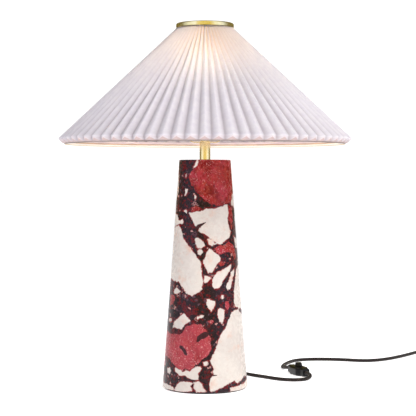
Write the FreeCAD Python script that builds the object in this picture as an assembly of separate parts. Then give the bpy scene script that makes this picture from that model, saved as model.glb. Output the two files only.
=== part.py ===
import FreeCAD, Part
import math
import os

Vector = FreeCAD.Vector

# Column table lamp. Millimetres, +Z up, origin on the table under the column's axis.
# The front is -Y. The cord leaves at the back and lies on the table to the right.

# Marble column
PAD_THICKNESS = 2.0
PAD_INSET = 3.2
COLUMN_HEIGHT = 374.0
COLUMN_FOOT_RADIUS = 70.2
COLUMN_HEAD_RADIUS = 42.2
COLUMN_FOOT_EASE = 2.4
COLUMN_HEAD_EASE = 1.6
RECESS_RADIUS = 32.0
RECESS_DEPTH = 42.0

# Threaded pipe that ties the lamp together, and its hardware
PIPE_RADIUS = 5.0
PIPE_WALL = 1.4
PIPE_BELOW_NUT = 2.0
PIPE_INTO_CAP = 7.0
THREAD_GAP = 0.05
COLUMN_BORE_GAP = 1.0
FENDER_RADIUS = 18.0
FENDER_THICKNESS = 2.0
LOCK_WASHER_RADIUS = 8.6
LOCK_WASHER_THICKNESS = 1.8
LOCK_WASHER_SPLIT = 1.6
NUT_ACROSS_FLATS = 16.0
NUT_THICKNESS = 5.0
TOP_NUT_THICKNESS = 3.2

# Neck, harp saddle and harp
NECK_RADIUS = 8.85
NECK_HEIGHT = 28.0
NECK_EDGE = 0.6
SADDLE_WIDTH = 13.0
SADDLE_THICKNESS = 1.8
SADDLE_BEND = 17.0
HARP_HALF_WIDTH = 31.0
PRONG_RADIUS = 3.2
PRONG_HEIGHT = 14.0
PRONG_SPLIT = 0.1
HARP_HEIGHT = 178.0
HARP_WIRE_RADIUS = 2.2
HARP_BELLY = 57.0
HARP_LEG = 16.0
HARP_SEAT_RADIUS = 7.0
HARP_SEAT_THICKNESS = 3.0
STUD_RADIUS = 3.2
STUD_LENGTH = 11.0
FERRULE_WALL = 1.4
FERRULE_LENGTH = 14.0
FERRULE_GAP = 0.08

# Lamp holder
CAP_HUB_RADIUS = 8.2
CAP_HUB_HEIGHT = 8.5
CAP_RADIUS = 18.6
CAP_DOME_HEIGHT = 10.0
CAP_SKIRT = 7.0
CAP_WALL = 1.0
SHELL_HEIGHT = 40.0
SHELL_WALL = 0.8
SHELL_BEAD = 0.9
SLIP_GAP = 0.08
LINER_WALL = 0.8
LINER_SHORT = 3.0
HOLDER_BODY_HEIGHT = 13.0
HOLDER_BODY_LIFT = 3.0
HOLDER_BODY_GAP = 0.3
SCREW_SHELL_RADIUS = 14.1
SCREW_SHELL_WALL = 0.6
SCREW_SHELL_HEIGHT = 23.0
CONTACT_RADIUS = 3.5
CONTACT_HEIGHT = 2.4
TERMINAL_RADIUS = 2.6
TERMINAL_LENGTH = 1.6
CAP_SCREW_RADIUS = 1.6
CAP_SCREW_HEAD_RADIUS = 2.6
CAP_SCREW_HEAD = 1.8

# Bulb
BULB_RADIUS = 30.0
BULB_LENGTH = 104.0
BULB_BASE_RADIUS = 13.1
BULB_BASE_HEIGHT = 22.0
BULB_TIP_RADIUS = 4.6
BULB_TIP_HEIGHT = 3.5
BULB_CONTACT_GAP = 0.1
BULB_NECK_RADIUS = 13.6
BULB_FLARE_RADIUS = 34.0
GLASS_WALL = 1.0

# Pleated shade
PLEATS = 72
SHADE_RIDGE_RADIUS = 240.0
SHADE_SLOPE_HEIGHT = 181.5
SHADE_PLEAT_DEPTH = 7.5
SHADE_TUCK = 10.6
SHADE_TUCK_HEIGHT = 9.0
SHADE_TOP_RADIUS = 46.0
SHADE_TOP_RISE = 10.5
SHADE_TOP_DEPTH = 10.0
SHADE_SHEET = 0.8
SHEET_SLANT = 1.4
HEM_WIRE_RADIUS = 1.5
HEM_WIRE_GAP = 0.3

# Shade carrier and finial
TOP_RING_RADIUS = 47.5
TOP_RING_INNER = 40.0
TOP_RING_HEIGHT = 6.8
TOP_RING_WALL = 1.1
TOP_RING_ROUND = 2.6
TOP_RING_GAP = 0.2
SPIDER_ARMS = 3
SPIDER_ARM_RADIUS = 1.5
SPIDER_ARM_BEND = 4.0
SPIDER_WASHER_RADIUS = 10.5
SPIDER_WASHER_THICKNESS = 1.6
SPIDER_BITE = 0.5
FINIAL_RADIUS = 7.0
FINIAL_FOOT_RADIUS = 6.2
FINIAL_WAIST_WALL = 1.2
FINIAL_HEIGHT = 13.0
FINIAL_GAP = 0.1

# Cord, bushing, switch and plug
CORD_RADIUS = 3.0
CORD_EXIT_Z = 12.0
CORD_EXIT_HEADING = 58.0
BUSHING_FLANGE_RADIUS = 7.5
BUSHING_FLANGE = 2.6
BUSHING_SHANK_RADIUS = 4.8
BUSHING_SLEEVE_RADIUS = 5.6
BUSHING_TIP_RADIUS = 4.2
BUSHING_SLEEVE = 20.0
BUSHING_LEAD = 12.0
SPOT_FACE_DEPTH = 1.6
LEAD_RADIUS = 2.6
LEAD_BEND = 16.0
LEAD_ABOVE_PIPE = 3.0
SWITCH_NEAR = (175.5, 106.0)
SWITCH_FAR = (153.0, 160.0)
SWITCH_HEIGHT = 15.0
SWITCH_BELLY_WIDTH = 24.0
SWITCH_END_WIDTH = 13.0
SWITCH_EDGE = 3.6
DIAL_RADIUS = 6.8
DIAL_TOP_RADIUS = 5.4
DIAL_HEIGHT = 6.4
DIAL_SHAFT_RADIUS = 2.5
DIAL_SHAFT = 5.0
DIAL_GAP = 0.08
DIAL_FLUTES = 16
SWITCH_SCREW_RADIUS = 1.5
SWITCH_SCREW_HEAD = 2.7
SWITCH_SCREW_DEPTH = 6.0
COIL_HALF_TURNS = 5
COIL_PITCH = 6.7
COIL_LIFT = 6.7
COIL_OUTER_RADIUS = 39.0
PLUG_LENGTH = 32.0
PLUG_WIDTH = 24.0
PLUG_THICKNESS = 16.0
PLUG_NECK_WIDTH = 11.0
BLADE_LENGTH = 16.0
BLADE_WIDTH = 6.3
BLADE_THICKNESS = 1.5
BLADE_SPACING = 12.7
BLADE_ROOT = 6.0

# Cord stretches, each point in real millimetres on the table
TO_SWITCH = [
    (62.3, 97.6, 9.4),
    (73.6, 104.6, 5.6),
    (86.6, 104.2, 3.4),
    (98.5, 95.6, 3.0),
    (110.5, 82.4, 3.0),
    (121.2, 71.6, 3.0),
    (132.5, 63.0, 3.0),
    (145.0, 58.5, 3.0),
    (158.5, 58.0, 3.0),
    (170.0, 63.0, 3.2),
    (178.0, 72.5, 4.2),
    (181.5, 84.0, 6.0),
]
TO_COIL = [
    (142.6, 183.5, 5.4),
    (139.5, 200.0, 3.4),
    (141.5, 219.0, 3.0),
    (147.5, 241.0, 3.0),
    (155.5, 263.0, 3.0),
    (165.5, 282.0, 3.0),
    (180.0, 295.0, 3.0),
    (198.0, 301.0, 3.0),
    (218.0, 302.5, 3.0),
    (241.0, 300.0, 3.0),
    (264.0, 294.0, 3.0),
    (283.0, 286.0, 3.0),
    (301.0, 282.0, 3.0),
    (320.0, 287.5, 3.0),
    (341.0, 302.0, 3.0),
    (363.0, 325.0, 3.0),
    (387.0, 356.0, 3.0),
    (409.0, 389.0, 3.0),
    (424.0, 408.0, 3.0),
    (438.0, 424.0, 3.0),
]
SWITCH_LEAD = 12.0
PLUG_RUNS = (14.0, 14.0, 14.0, 12.0)
PLUG_TURN = 22.0

# Places that several pieces share
COLUMN_TOP = PAD_THICKNESS + COLUMN_HEIGHT
RECESS_TOP = PAD_THICKNESS + RECESS_DEPTH
COLUMN_SLOPE = (COLUMN_FOOT_RADIUS - COLUMN_HEAD_RADIUS) / COLUMN_HEIGHT
NECK_TOP = COLUMN_TOP + NECK_HEIGHT
SADDLE_TOP = NECK_TOP + SADDLE_THICKNESS
TOP_NUT_TOP = SADDLE_TOP + TOP_NUT_THICKNESS
CAP_BASE = TOP_NUT_TOP
CAP_RIM = CAP_BASE + CAP_HUB_HEIGHT + CAP_DOME_HEIGHT + CAP_SKIRT
PIPE_TOP = CAP_BASE + PIPE_INTO_CAP
PIPE_BASE = RECESS_TOP - FENDER_THICKNESS - LOCK_WASHER_THICKNESS - NUT_THICKNESS - PIPE_BELOW_NUT
SHELL_RADIUS = CAP_RADIUS - CAP_WALL - SLIP_GAP
SHELL_BASE = CAP_RIM - CAP_SKIRT
SHELL_TOP = SHELL_BASE + SHELL_HEIGHT
LINER_RADIUS = SHELL_RADIUS - SHELL_WALL - SLIP_GAP
HOLDER_BODY_RADIUS = LINER_RADIUS - LINER_WALL - HOLDER_BODY_GAP
HOLDER_BODY_BASE = SHELL_BASE + HOLDER_BODY_LIFT
HOLDER_BODY_TOP = HOLDER_BODY_BASE + HOLDER_BODY_HEIGHT
BULB_BASE_Z = HOLDER_BODY_TOP + CONTACT_HEIGHT + BULB_CONTACT_GAP
SEAT_Z = NECK_TOP + HARP_HEIGHT
SADDLE_STOP_Z = NECK_TOP + SADDLE_BEND
SPIDER_TOP = SEAT_Z + SPIDER_WASHER_THICKNESS
SHADE_TOP_Z = SEAT_Z + SHADE_TOP_RISE
SHADE_RIDGE_Z = SHADE_TOP_Z - SHADE_SLOPE_HEIGHT
SHADE_HEM_Z = SHADE_RIDGE_Z - SHADE_TUCK_HEIGHT
SHADE_HEM_RADIUS = SHADE_RIDGE_RADIUS - SHADE_TUCK
RING_BASE = SHADE_TOP_Z + TOP_RING_GAP


# Shape helpers

def solid_at(shape, x, y, z, heading=0.0):
    """Turn a shape about Z by the heading in degrees, then carry it to a place."""
    moved = shape.copy()
    moved.rotate(Vector(0, 0, 0), Vector(0, 0, 1), heading)
    moved.translate(Vector(x, y, z))
    return moved


def corner_arc(before, corner, after, radius):
    """Start, middle and end of the tangent arc that rounds a corner."""
    back = (before - corner).normalize()
    ahead = (after - corner).normalize()
    half = back.getAngle(ahead) / 2
    bisector = (back + ahead).normalize()
    reach = radius / math.tan(half)
    middle = corner + bisector * (radius / math.sin(half) - radius)
    return corner + back * reach, middle, corner + ahead * reach


def rounded_wire(points, radii, closed=False):
    """Straight runs through the points, joined by tangent arcs of the given radii."""
    count = len(points)
    edges = []
    here = None
    first = None
    for index, corner in enumerate(points):
        radius = radii.get(index, 0.0)
        if radius > 0:
            before = points[index - 1]
            after = points[(index + 1) % count]
            start, middle, end = corner_arc(before, corner, after, radius)
        else:
            start = end = corner
        if here is not None and start.distanceToPoint(here) > 1e-6:
            edges.append(Part.makeLine(here, start))
        if radius > 0:
            edges.append(Part.Arc(start, middle, end).toShape())
        if first is None:
            first = start
        here = end
    if closed and here.distanceToPoint(first) > 1e-6:
        edges.append(Part.makeLine(here, first))
    return Part.Wire(edges)


def turned(outline, rounds=None):
    """Solid of revolution about Z from (radius, z) points, with rounded corners by index."""
    points = [Vector(radius, 0, z) for radius, z in outline]
    wire = rounded_wire(points, rounds or {}, closed=True)
    return Part.Face(wire).revolve(Vector(0, 0, 0), Vector(0, 0, 1), 360)


def tube(path, radius):
    """Round wire or cord along a smooth path."""
    first = path.OrderedEdges[0]
    start = first.valueAt(first.FirstParameter)
    direction = first.tangentAt(first.FirstParameter)
    ring = Part.Wire(Part.makeCircle(radius, start, direction))
    return path.makePipeShell([ring], True, False)


def cylinder(radius, height, z=0.0):
    return Part.makeCylinder(radius, height, Vector(0, 0, z))


def hexagon(across_flats, height, z):
    """Six-sided bar, standing on z."""
    corner = across_flats / math.sqrt(3)
    points = []
    for side in range(7):
        angle = math.radians(60 * side)
        points.append(Vector(corner * math.cos(angle), corner * math.sin(angle), z))
    return Part.Face(Part.makePolygon(points)).extrude(Vector(0, 0, height))


def hex_nut(across_flats, height, z):
    """Hexagon nut with both faces chamfered, bored to clear the pipe's thread."""
    corner = across_flats / math.sqrt(3)
    chamfer = (corner - across_flats / 2) * 0.9
    barrel = turned([
        (0, z),
        (corner - chamfer, z),
        (corner, z + chamfer * 0.6),
        (corner, z + height - chamfer * 0.6),
        (corner - chamfer, z + height),
        (0, z + height),
    ])
    blank = hexagon(across_flats, height, z).common(barrel)
    return blank.cut(cylinder(PIPE_RADIUS + THREAD_GAP, height, z))


# Column and what ties it together

def column():
    """Solid marble cone with eased rims, a bored core, a foot recess and the cord's hole."""
    bore = PIPE_RADIUS + COLUMN_BORE_GAP
    cone = turned(
        [
            (bore, RECESS_TOP),
            (RECESS_RADIUS, RECESS_TOP),
            (RECESS_RADIUS, PAD_THICKNESS),
            (COLUMN_FOOT_RADIUS, PAD_THICKNESS),
            (COLUMN_HEAD_RADIUS, COLUMN_TOP),
            (bore, COLUMN_TOP),
        ],
        {3: COLUMN_FOOT_EASE, 4: COLUMN_HEAD_EASE},
    )
    hole = bushing_cutter(BUSHING_SHANK_RADIUS + THREAD_GAP, COLUMN_FOOT_RADIUS)
    spot = bushing_cutter(BUSHING_FLANGE_RADIUS + SLIP_GAP, SPOT_FACE_DEPTH + BUSHING_FLANGE)
    spot = along_exit(spot, exit_radius() - SPOT_FACE_DEPTH)
    return cone.cut(along_exit(hole, RECESS_RADIUS / 2)).cut(spot)


def foot_pad():
    """Felt disc glued under the column."""
    radius = COLUMN_FOOT_RADIUS - PAD_INSET
    return cylinder(radius, PAD_THICKNESS)


def pipe():
    """Threaded pipe from the foot recess up into the lamp holder's cap."""
    height = PIPE_TOP - PIPE_BASE
    outer = cylinder(PIPE_RADIUS, height, PIPE_BASE)
    return outer.cut(cylinder(PIPE_RADIUS - PIPE_WALL, height, PIPE_BASE))


def fender_washer():
    z = RECESS_TOP - FENDER_THICKNESS
    disc = cylinder(FENDER_RADIUS, FENDER_THICKNESS, z)
    return disc.cut(cylinder(PIPE_RADIUS + THREAD_GAP, FENDER_THICKNESS, z))


def lock_washer():
    """Split spring washer between the nut and the fender washer."""
    z = RECESS_TOP - FENDER_THICKNESS - LOCK_WASHER_THICKNESS
    disc = cylinder(LOCK_WASHER_RADIUS, LOCK_WASHER_THICKNESS, z)
    disc = disc.cut(cylinder(PIPE_RADIUS + THREAD_GAP, LOCK_WASHER_THICKNESS, z))
    split = Part.makeBox(
        LOCK_WASHER_RADIUS, LOCK_WASHER_SPLIT, LOCK_WASHER_THICKNESS * 3,
        Vector(0, -LOCK_WASHER_SPLIT / 2, z - LOCK_WASHER_THICKNESS),
    )
    split.rotate(Vector(0, 0, z + LOCK_WASHER_THICKNESS / 2), Vector(1, 0, 0), 35)
    return disc.cut(split)


def bottom_nut():
    z = RECESS_TOP - FENDER_THICKNESS - LOCK_WASHER_THICKNESS - NUT_THICKNESS
    return hex_nut(NUT_ACROSS_FLATS, NUT_THICKNESS, z)


def neck():
    """Brass tube between the marble and the harp saddle."""
    bore = PIPE_RADIUS + THREAD_GAP
    return turned(
        [
            (bore, COLUMN_TOP),
            (NECK_RADIUS, COLUMN_TOP),
            (NECK_RADIUS, NECK_TOP),
            (bore, NECK_TOP),
        ],
        {1: NECK_EDGE, 2: NECK_EDGE},
    )


# Harp and saddle

def prong(side):
    """Half-round prong at one end of the saddle, flat towards the harp's leg."""
    bar = cylinder(PRONG_RADIUS, PRONG_HEIGHT, SADDLE_STOP_Z)
    keep = Part.makeBox(
        PRONG_RADIUS, 2 * PRONG_RADIUS, PRONG_HEIGHT,
        Vector(-PRONG_RADIUS - PRONG_SPLIT / 2, -PRONG_RADIUS, SADDLE_STOP_Z),
    )
    half = bar.common(keep)
    half.translate(Vector(HARP_HALF_WIDTH, 0, 0))
    if side < 0:
        half.rotate(Vector(0, 0, 0), Vector(0, 0, 1), 180)
    return half


def harp_saddle():
    """Bent strip on the neck, with an upright prong at each end."""
    outer = HARP_HALF_WIDTH + SADDLE_THICKNESS / 2
    inner = HARP_HALF_WIDTH - SADDLE_THICKNESS / 2
    outline = [
        (-outer, SADDLE_STOP_Z),
        (-outer, NECK_TOP),
        (outer, NECK_TOP),
        (outer, SADDLE_STOP_Z),
        (inner, SADDLE_STOP_Z),
        (inner, SADDLE_TOP),
        (-inner, SADDLE_TOP),
        (-inner, SADDLE_STOP_Z),
    ]
    bend = SADDLE_BEND - SADDLE_THICKNESS / 2
    rounds = {1: bend, 2: bend, 5: bend - SADDLE_THICKNESS, 6: bend - SADDLE_THICKNESS}
    points = [Vector(x, -SADDLE_WIDTH / 2, z) for x, z in outline]
    strip = Part.Face(rounded_wire(points, rounds, closed=True))
    strip = strip.extrude(Vector(0, SADDLE_WIDTH, 0))
    strip = strip.cut(cylinder(PIPE_RADIUS + THREAD_GAP, SADDLE_THICKNESS, NECK_TOP))
    return strip.fuse(prong(1)).fuse(prong(-1)).removeSplitter()


def harp_leg(side):
    """Flattened lower end of the harp's wire, lying against a prong."""
    height = PRONG_HEIGHT + HARP_WIRE_RADIUS
    bar = cylinder(PRONG_RADIUS, height, SADDLE_STOP_Z)
    keep = Part.makeBox(
        PRONG_RADIUS, 2 * PRONG_RADIUS, height,
        Vector(PRONG_SPLIT / 2, -PRONG_RADIUS, SADDLE_STOP_Z),
    )
    half = bar.common(keep)
    half.translate(Vector(HARP_HALF_WIDTH, 0, 0))
    if side < 0:
        half.rotate(Vector(0, 0, 0), Vector(0, 0, 1), 180)
    return half


def harp():
    """Bowed wire over the bulb, with a seat and a threaded stud on top."""
    leg_base = SADDLE_STOP_Z + PRONG_HEIGHT + PRONG_SPLIT
    leg_top = SADDLE_STOP_Z + PRONG_HEIGHT + HARP_LEG
    leg_x = HARP_HALF_WIDTH + PRONG_SPLIT / 2 + HARP_WIRE_RADIUS * 0.45
    crown_z = SEAT_Z - HARP_SEAT_THICKNESS - HARP_WIRE_RADIUS * 0.4
    belly_z = leg_top + (crown_z - leg_top) * 0.42
    right = [
        Vector(leg_x, 0, leg_base),
        Vector(leg_x, 0, leg_top),
        Vector(HARP_BELLY, 0, leg_top + (belly_z - leg_top) * 0.62),
        Vector(HARP_BELLY, 0, belly_z + (crown_z - belly_z) * 0.45),
        Vector(HARP_BELLY * 0.52, 0, crown_z),
    ]
    left = [Vector(-point.x, 0, point.z) for point in reversed(right)]
    rounds = {1: 14.0, 2: 24.0, 3: 34.0, 4: 20.0, 5: 20.0, 6: 34.0, 7: 24.0, 8: 14.0}
    bow = tube(rounded_wire(right + left, rounds), HARP_WIRE_RADIUS)
    seat = cylinder(HARP_SEAT_RADIUS, HARP_SEAT_THICKNESS + HARP_WIRE_RADIUS, SEAT_Z
                    - HARP_SEAT_THICKNESS - HARP_WIRE_RADIUS)
    stud = cylinder(STUD_RADIUS, STUD_LENGTH, SEAT_Z)
    return bow.fuse([harp_leg(1), harp_leg(-1), seat, stud]).removeSplitter()


def ferrule(side):
    """Sleeve that drops over a prong and the harp's leg and locks them together."""
    bore = PRONG_RADIUS + FERRULE_GAP
    sleeve = turned(
        [
            (bore, SADDLE_STOP_Z),
            (bore + FERRULE_WALL, SADDLE_STOP_Z),
            (bore + FERRULE_WALL, SADDLE_STOP_Z + FERRULE_LENGTH),
            (bore, SADDLE_STOP_Z + FERRULE_LENGTH),
        ],
        {1: 0.4, 2: 0.6},
    )
    sleeve.translate(Vector(side * HARP_HALF_WIDTH, 0, 0))
    return sleeve


# Lamp holder and bulb

def top_nut():
    return hex_nut(NUT_ACROSS_FLATS - 2.0, TOP_NUT_THICKNESS, SADDLE_TOP)


def socket_cap():
    """Spun brass cap: threaded hub, domed shoulder and a skirt for the shell."""
    hub_top = CAP_BASE + CAP_HUB_HEIGHT
    dome_top = hub_top + CAP_DOME_HEIGHT
    bore = PIPE_RADIUS + THREAD_GAP
    hub_bore_top = PIPE_TOP + 0.5
    skin = turned(
        [
            (bore, CAP_BASE),
            (CAP_HUB_RADIUS, CAP_BASE),
            (CAP_HUB_RADIUS, hub_top),
            (CAP_RADIUS, dome_top - 2.0),
            (CAP_RADIUS, CAP_RIM),
            (CAP_RADIUS - CAP_WALL, CAP_RIM),
            (CAP_RADIUS - CAP_WALL, dome_top - 1.4),
            (CAP_HUB_RADIUS, hub_top + 1.5),
            (bore, hub_bore_top),
        ],
        {1: 0.8, 2: 2.0, 3: 4.0, 6: 3.2},
    )
    screw_hole = Part.makeCylinder(
        CAP_SCREW_RADIUS + THREAD_GAP, CAP_HUB_RADIUS,
        Vector(0, 0, cap_screw_z()), Vector(0, 1, 0),
    )
    return skin.cut(screw_hole)


def cap_screw_z():
    return CAP_BASE + CAP_HUB_HEIGHT * 0.42


def cap_screw():
    """Slotted set screw through the cap's hub at the back, against the pipe."""
    z = cap_screw_z()
    back = Vector(0, 1, 0)
    reach = PIPE_RADIUS + THREAD_GAP
    shank = Part.makeCylinder(CAP_SCREW_RADIUS, CAP_HUB_RADIUS - reach + 0.4,
                              Vector(0, reach, z), back)
    head_y = CAP_HUB_RADIUS + 0.3
    head = Part.makeCylinder(CAP_SCREW_HEAD_RADIUS, CAP_SCREW_HEAD, Vector(0, head_y, z), back)
    slot = Part.makeBox(CAP_SCREW_HEAD_RADIUS * 2, CAP_SCREW_HEAD / 2, 0.7,
                        Vector(-CAP_SCREW_HEAD_RADIUS, head_y + CAP_SCREW_HEAD / 2, z - 0.35))
    return shank.fuse(head).cut(slot).removeSplitter()


def socket_shell():
    """Brass outer shell with a rolled bead near its mouth."""
    inner = SHELL_RADIUS - SHELL_WALL
    bead_z = SHELL_TOP - 6.0
    bead = SHELL_RADIUS + SHELL_BEAD
    return turned(
        [
            (inner, SHELL_BASE),
            (SHELL_RADIUS, SHELL_BASE),
            (SHELL_RADIUS, bead_z - 2.0),
            (bead, bead_z),
            (SHELL_RADIUS, bead_z + 2.0),
            (SHELL_RADIUS, SHELL_TOP),
            (inner, SHELL_TOP),
        ],
        {3: 0.9},
    )


def shell_liner():
    """Insulating paper sleeve between the shell and the holder's body."""
    base = SHELL_BASE + 1.0
    top = SHELL_TOP - LINER_SHORT
    outer = cylinder(LINER_RADIUS, top - base, base)
    return outer.cut(cylinder(LINER_RADIUS - LINER_WALL, top - base, base))


def holder_body():
    """Moulded insulator that carries the screw shell and the centre contact."""
    body = turned(
        [
            (0, HOLDER_BODY_BASE),
            (HOLDER_BODY_RADIUS, HOLDER_BODY_BASE),
            (HOLDER_BODY_RADIUS, HOLDER_BODY_TOP),
            (0, HOLDER_BODY_TOP),
        ],
        {1: 1.2, 2: 0.8},
    )
    notch_depth = TERMINAL_LENGTH * 2
    for side in (-1, 1):
        notch = Part.makeBox(
            notch_depth, HOLDER_BODY_RADIUS * 0.7, HOLDER_BODY_HEIGHT * 0.7,
            Vector(-notch_depth / 2, -HOLDER_BODY_RADIUS * 0.35, HOLDER_BODY_BASE),
        )
        notch.translate(Vector(side * (HOLDER_BODY_RADIUS - notch_depth / 2), 0, 0))
        body = body.cut(notch)
    return body


def terminal_screws():
    """The two wire terminals in the side notches of the holder's body."""
    z = HOLDER_BODY_BASE + HOLDER_BODY_HEIGHT * 0.35
    seat = HOLDER_BODY_RADIUS - TERMINAL_LENGTH * 2
    heads = []
    for side in (-1, 1):
        start = Vector(side * seat, 0, z)
        heads.append(Part.makeCylinder(TERMINAL_RADIUS, TERMINAL_LENGTH, start, Vector(side, 0, 0)))
    return Part.Compound(heads)


def screw_shell():
    """Threaded shell that takes the bulb."""
    inner = SCREW_SHELL_RADIUS - SCREW_SHELL_WALL
    outer = cylinder(SCREW_SHELL_RADIUS, SCREW_SHELL_HEIGHT, HOLDER_BODY_TOP)
    return outer.cut(cylinder(inner, SCREW_SHELL_HEIGHT, HOLDER_BODY_TOP))


def centre_contact():
    """Sprung brass tongue under the bulb's tip."""
    return turned(
        [
            (0, HOLDER_BODY_TOP),
            (CONTACT_RADIUS, HOLDER_BODY_TOP),
            (CONTACT_RADIUS * 0.6, HOLDER_BODY_TOP + CONTACT_HEIGHT),
            (0, HOLDER_BODY_TOP + CONTACT_HEIGHT),
        ],
    )


def bulb_base():
    """Screw base of the bulb with its insulated tip."""
    shoulder = BULB_BASE_Z + BULB_TIP_HEIGHT
    top = shoulder + BULB_BASE_HEIGHT
    return turned(
        [
            (0, BULB_BASE_Z),
            (BULB_TIP_RADIUS, BULB_BASE_Z),
            (BULB_TIP_RADIUS + 1.0, BULB_BASE_Z + BULB_TIP_HEIGHT * 0.5),
            (BULB_BASE_RADIUS - 2.0, shoulder),
            (BULB_BASE_RADIUS, shoulder + 2.0),
            (BULB_BASE_RADIUS, top),
            (0, top),
        ],
        {1: 1.0},
    )


def bulb_glass():
    """Hollow glass envelope: straight neck swelling into a round head."""
    outer = glass_profile(BULB_RADIUS, BULB_NECK_RADIUS, BULB_FLARE_RADIUS)
    inner = glass_profile(
        BULB_RADIUS - GLASS_WALL,
        BULB_NECK_RADIUS - GLASS_WALL,
        BULB_FLARE_RADIUS + GLASS_WALL,
    )
    return outer.cut(inner)


def glass_profile(head_radius, neck_radius, flare_radius):
    """Envelope of revolution: neck, a hollow flare that touches neck and head, and the head."""
    base = BULB_BASE_Z + BULB_TIP_HEIGHT + BULB_BASE_HEIGHT
    head_z = BULB_BASE_Z + BULB_LENGTH - BULB_RADIUS
    flare_x = neck_radius + flare_radius
    drop = math.sqrt((head_radius + flare_radius) ** 2 - flare_x ** 2)
    flare_centre = Vector(flare_x, 0, head_z - drop)
    head_centre = Vector(0, 0, head_z)
    towards = (head_centre - flare_centre).normalize()
    join = flare_centre + towards * flare_radius
    neck_end = flare_centre - Vector(flare_radius, 0, 0)
    bow = (towards - Vector(1, 0, 0)).normalize()
    crown = head_centre + Vector(0, 0, head_radius)
    swell = (Vector(0, 0, 1) - towards + Vector(1, 0, 0)).normalize()
    foot = Vector(neck_radius, 0, base)
    edges = [
        Part.makeLine(Vector(0, 0, base), foot),
        Part.makeLine(foot, neck_end),
        Part.Arc(neck_end, flare_centre + bow * flare_radius, join).toShape(),
        Part.Arc(join, head_centre + swell * head_radius, crown).toShape(),
        Part.makeLine(crown, Vector(0, 0, base)),
    ]
    return Part.Face(Part.Wire(edges)).revolve(Vector(0, 0, 0), Vector(0, 0, 1), 360)


# Pleated shade and what carries it

def pleat_points(ridge_radius, valley_radius, z):
    """Closed zigzag of ridges and valleys at one height, a ridge facing the front."""
    points = []
    for fold in range(2 * PLEATS):
        angle = math.radians(-90) + math.pi * fold / PLEATS
        radius = ridge_radius if fold % 2 == 0 else valley_radius
        points.append(Vector(radius * math.cos(angle), radius * math.sin(angle), z))
    return points


def sheet_setback(ridge_radius, depth):
    """How far inward the sheet's thickness moves each fold, measured along the radius."""
    half_pitch = ridge_radius * math.sin(math.pi / PLEATS)
    slant = math.hypot(depth, half_pitch)
    return SHADE_SHEET * slant / half_pitch


def facet(*corners):
    return Part.Face(Part.makePolygon(list(corners) + [corners[0]]))


def folded_band(lower, upper):
    """Flat folds between two zigzags, each panel in two facets that meet on its diagonal."""
    faces = []
    for index in range(len(lower)):
        after = (index + 1) % len(lower)
        if index % 2 == 0:
            faces.append(facet(lower[index], lower[after], upper[index]))
            faces.append(facet(lower[after], upper[after], upper[index]))
        else:
            faces.append(facet(lower[index], lower[after], upper[after]))
            faces.append(facet(lower[index], upper[after], upper[index]))
    return faces


def sheet_edge(outer, inner):
    """Flat edge of the sheet between its outer and inner zigzag."""
    faces = []
    for index in range(len(outer)):
        after = (index + 1) % len(outer)
        faces.append(facet(outer[index], outer[after], inner[after], inner[index]))
    return faces


def shade():
    """Folded sheet: deep pleats down the cone, tucked under to the hem at the foot."""
    foot_valley = SHADE_RIDGE_RADIUS - SHADE_PLEAT_DEPTH
    top_valley = SHADE_TOP_RADIUS - SHADE_TOP_DEPTH
    hem_in = SHADE_SHEET * SHEET_SLANT
    foot_in = sheet_setback(SHADE_RIDGE_RADIUS, SHADE_PLEAT_DEPTH) * SHEET_SLANT
    top_in = sheet_setback(SHADE_TOP_RADIUS, SHADE_TOP_DEPTH)
    hem = SHADE_HEM_RADIUS
    outer = [
        pleat_points(hem, hem, SHADE_HEM_Z),
        pleat_points(SHADE_RIDGE_RADIUS, foot_valley, SHADE_RIDGE_Z),
        pleat_points(SHADE_TOP_RADIUS, top_valley, SHADE_TOP_Z),
    ]
    inner = [
        pleat_points(hem - hem_in, hem - hem_in, SHADE_HEM_Z),
        pleat_points(SHADE_RIDGE_RADIUS - foot_in, foot_valley - foot_in, SHADE_RIDGE_Z),
        pleat_points(SHADE_TOP_RADIUS - top_in, top_valley - top_in, SHADE_TOP_Z),
    ]
    faces = sheet_edge(outer[0], inner[0]) + sheet_edge(outer[-1], inner[-1])
    for lower, upper in zip(outer, outer[1:]):
        faces.extend(folded_band(lower, upper))
    for lower, upper in zip(inner, inner[1:]):
        faces.extend(folded_band(lower, upper))
    shell = Part.makeShell(faces)
    shell.sewShape()
    solid = Part.Solid(shell)
    if solid.Volume < 0:
        solid.reverse()
    return solid


def hem_wire():
    """Taped wire ring that keeps the foot of the shade round."""
    flat = (SHADE_HEM_RADIUS - SHADE_SHEET * SHEET_SLANT) * math.cos(math.pi / PLEATS / 2)
    radius = flat - HEM_WIRE_GAP - HEM_WIRE_RADIUS
    return Part.makeTorus(radius, HEM_WIRE_RADIUS, Vector(0, 0, SHADE_HEM_Z + HEM_WIRE_RADIUS))


def top_ring():
    """Rolled brass rim over the gathered top of the pleats."""
    top = RING_BASE + TOP_RING_HEIGHT
    wall = TOP_RING_WALL
    return turned(
        [
            (TOP_RING_RADIUS, RING_BASE),
            (TOP_RING_RADIUS, top),
            (TOP_RING_INNER, top),
            (TOP_RING_INNER, RING_BASE),
            (TOP_RING_INNER + wall, RING_BASE),
            (TOP_RING_INNER + wall, top - wall),
            (TOP_RING_RADIUS - wall, top - wall),
            (TOP_RING_RADIUS - wall, RING_BASE),
        ],
        {1: TOP_RING_ROUND, 2: TOP_RING_ROUND, 5: TOP_RING_ROUND - wall, 6: TOP_RING_ROUND - wall},
    )


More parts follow.
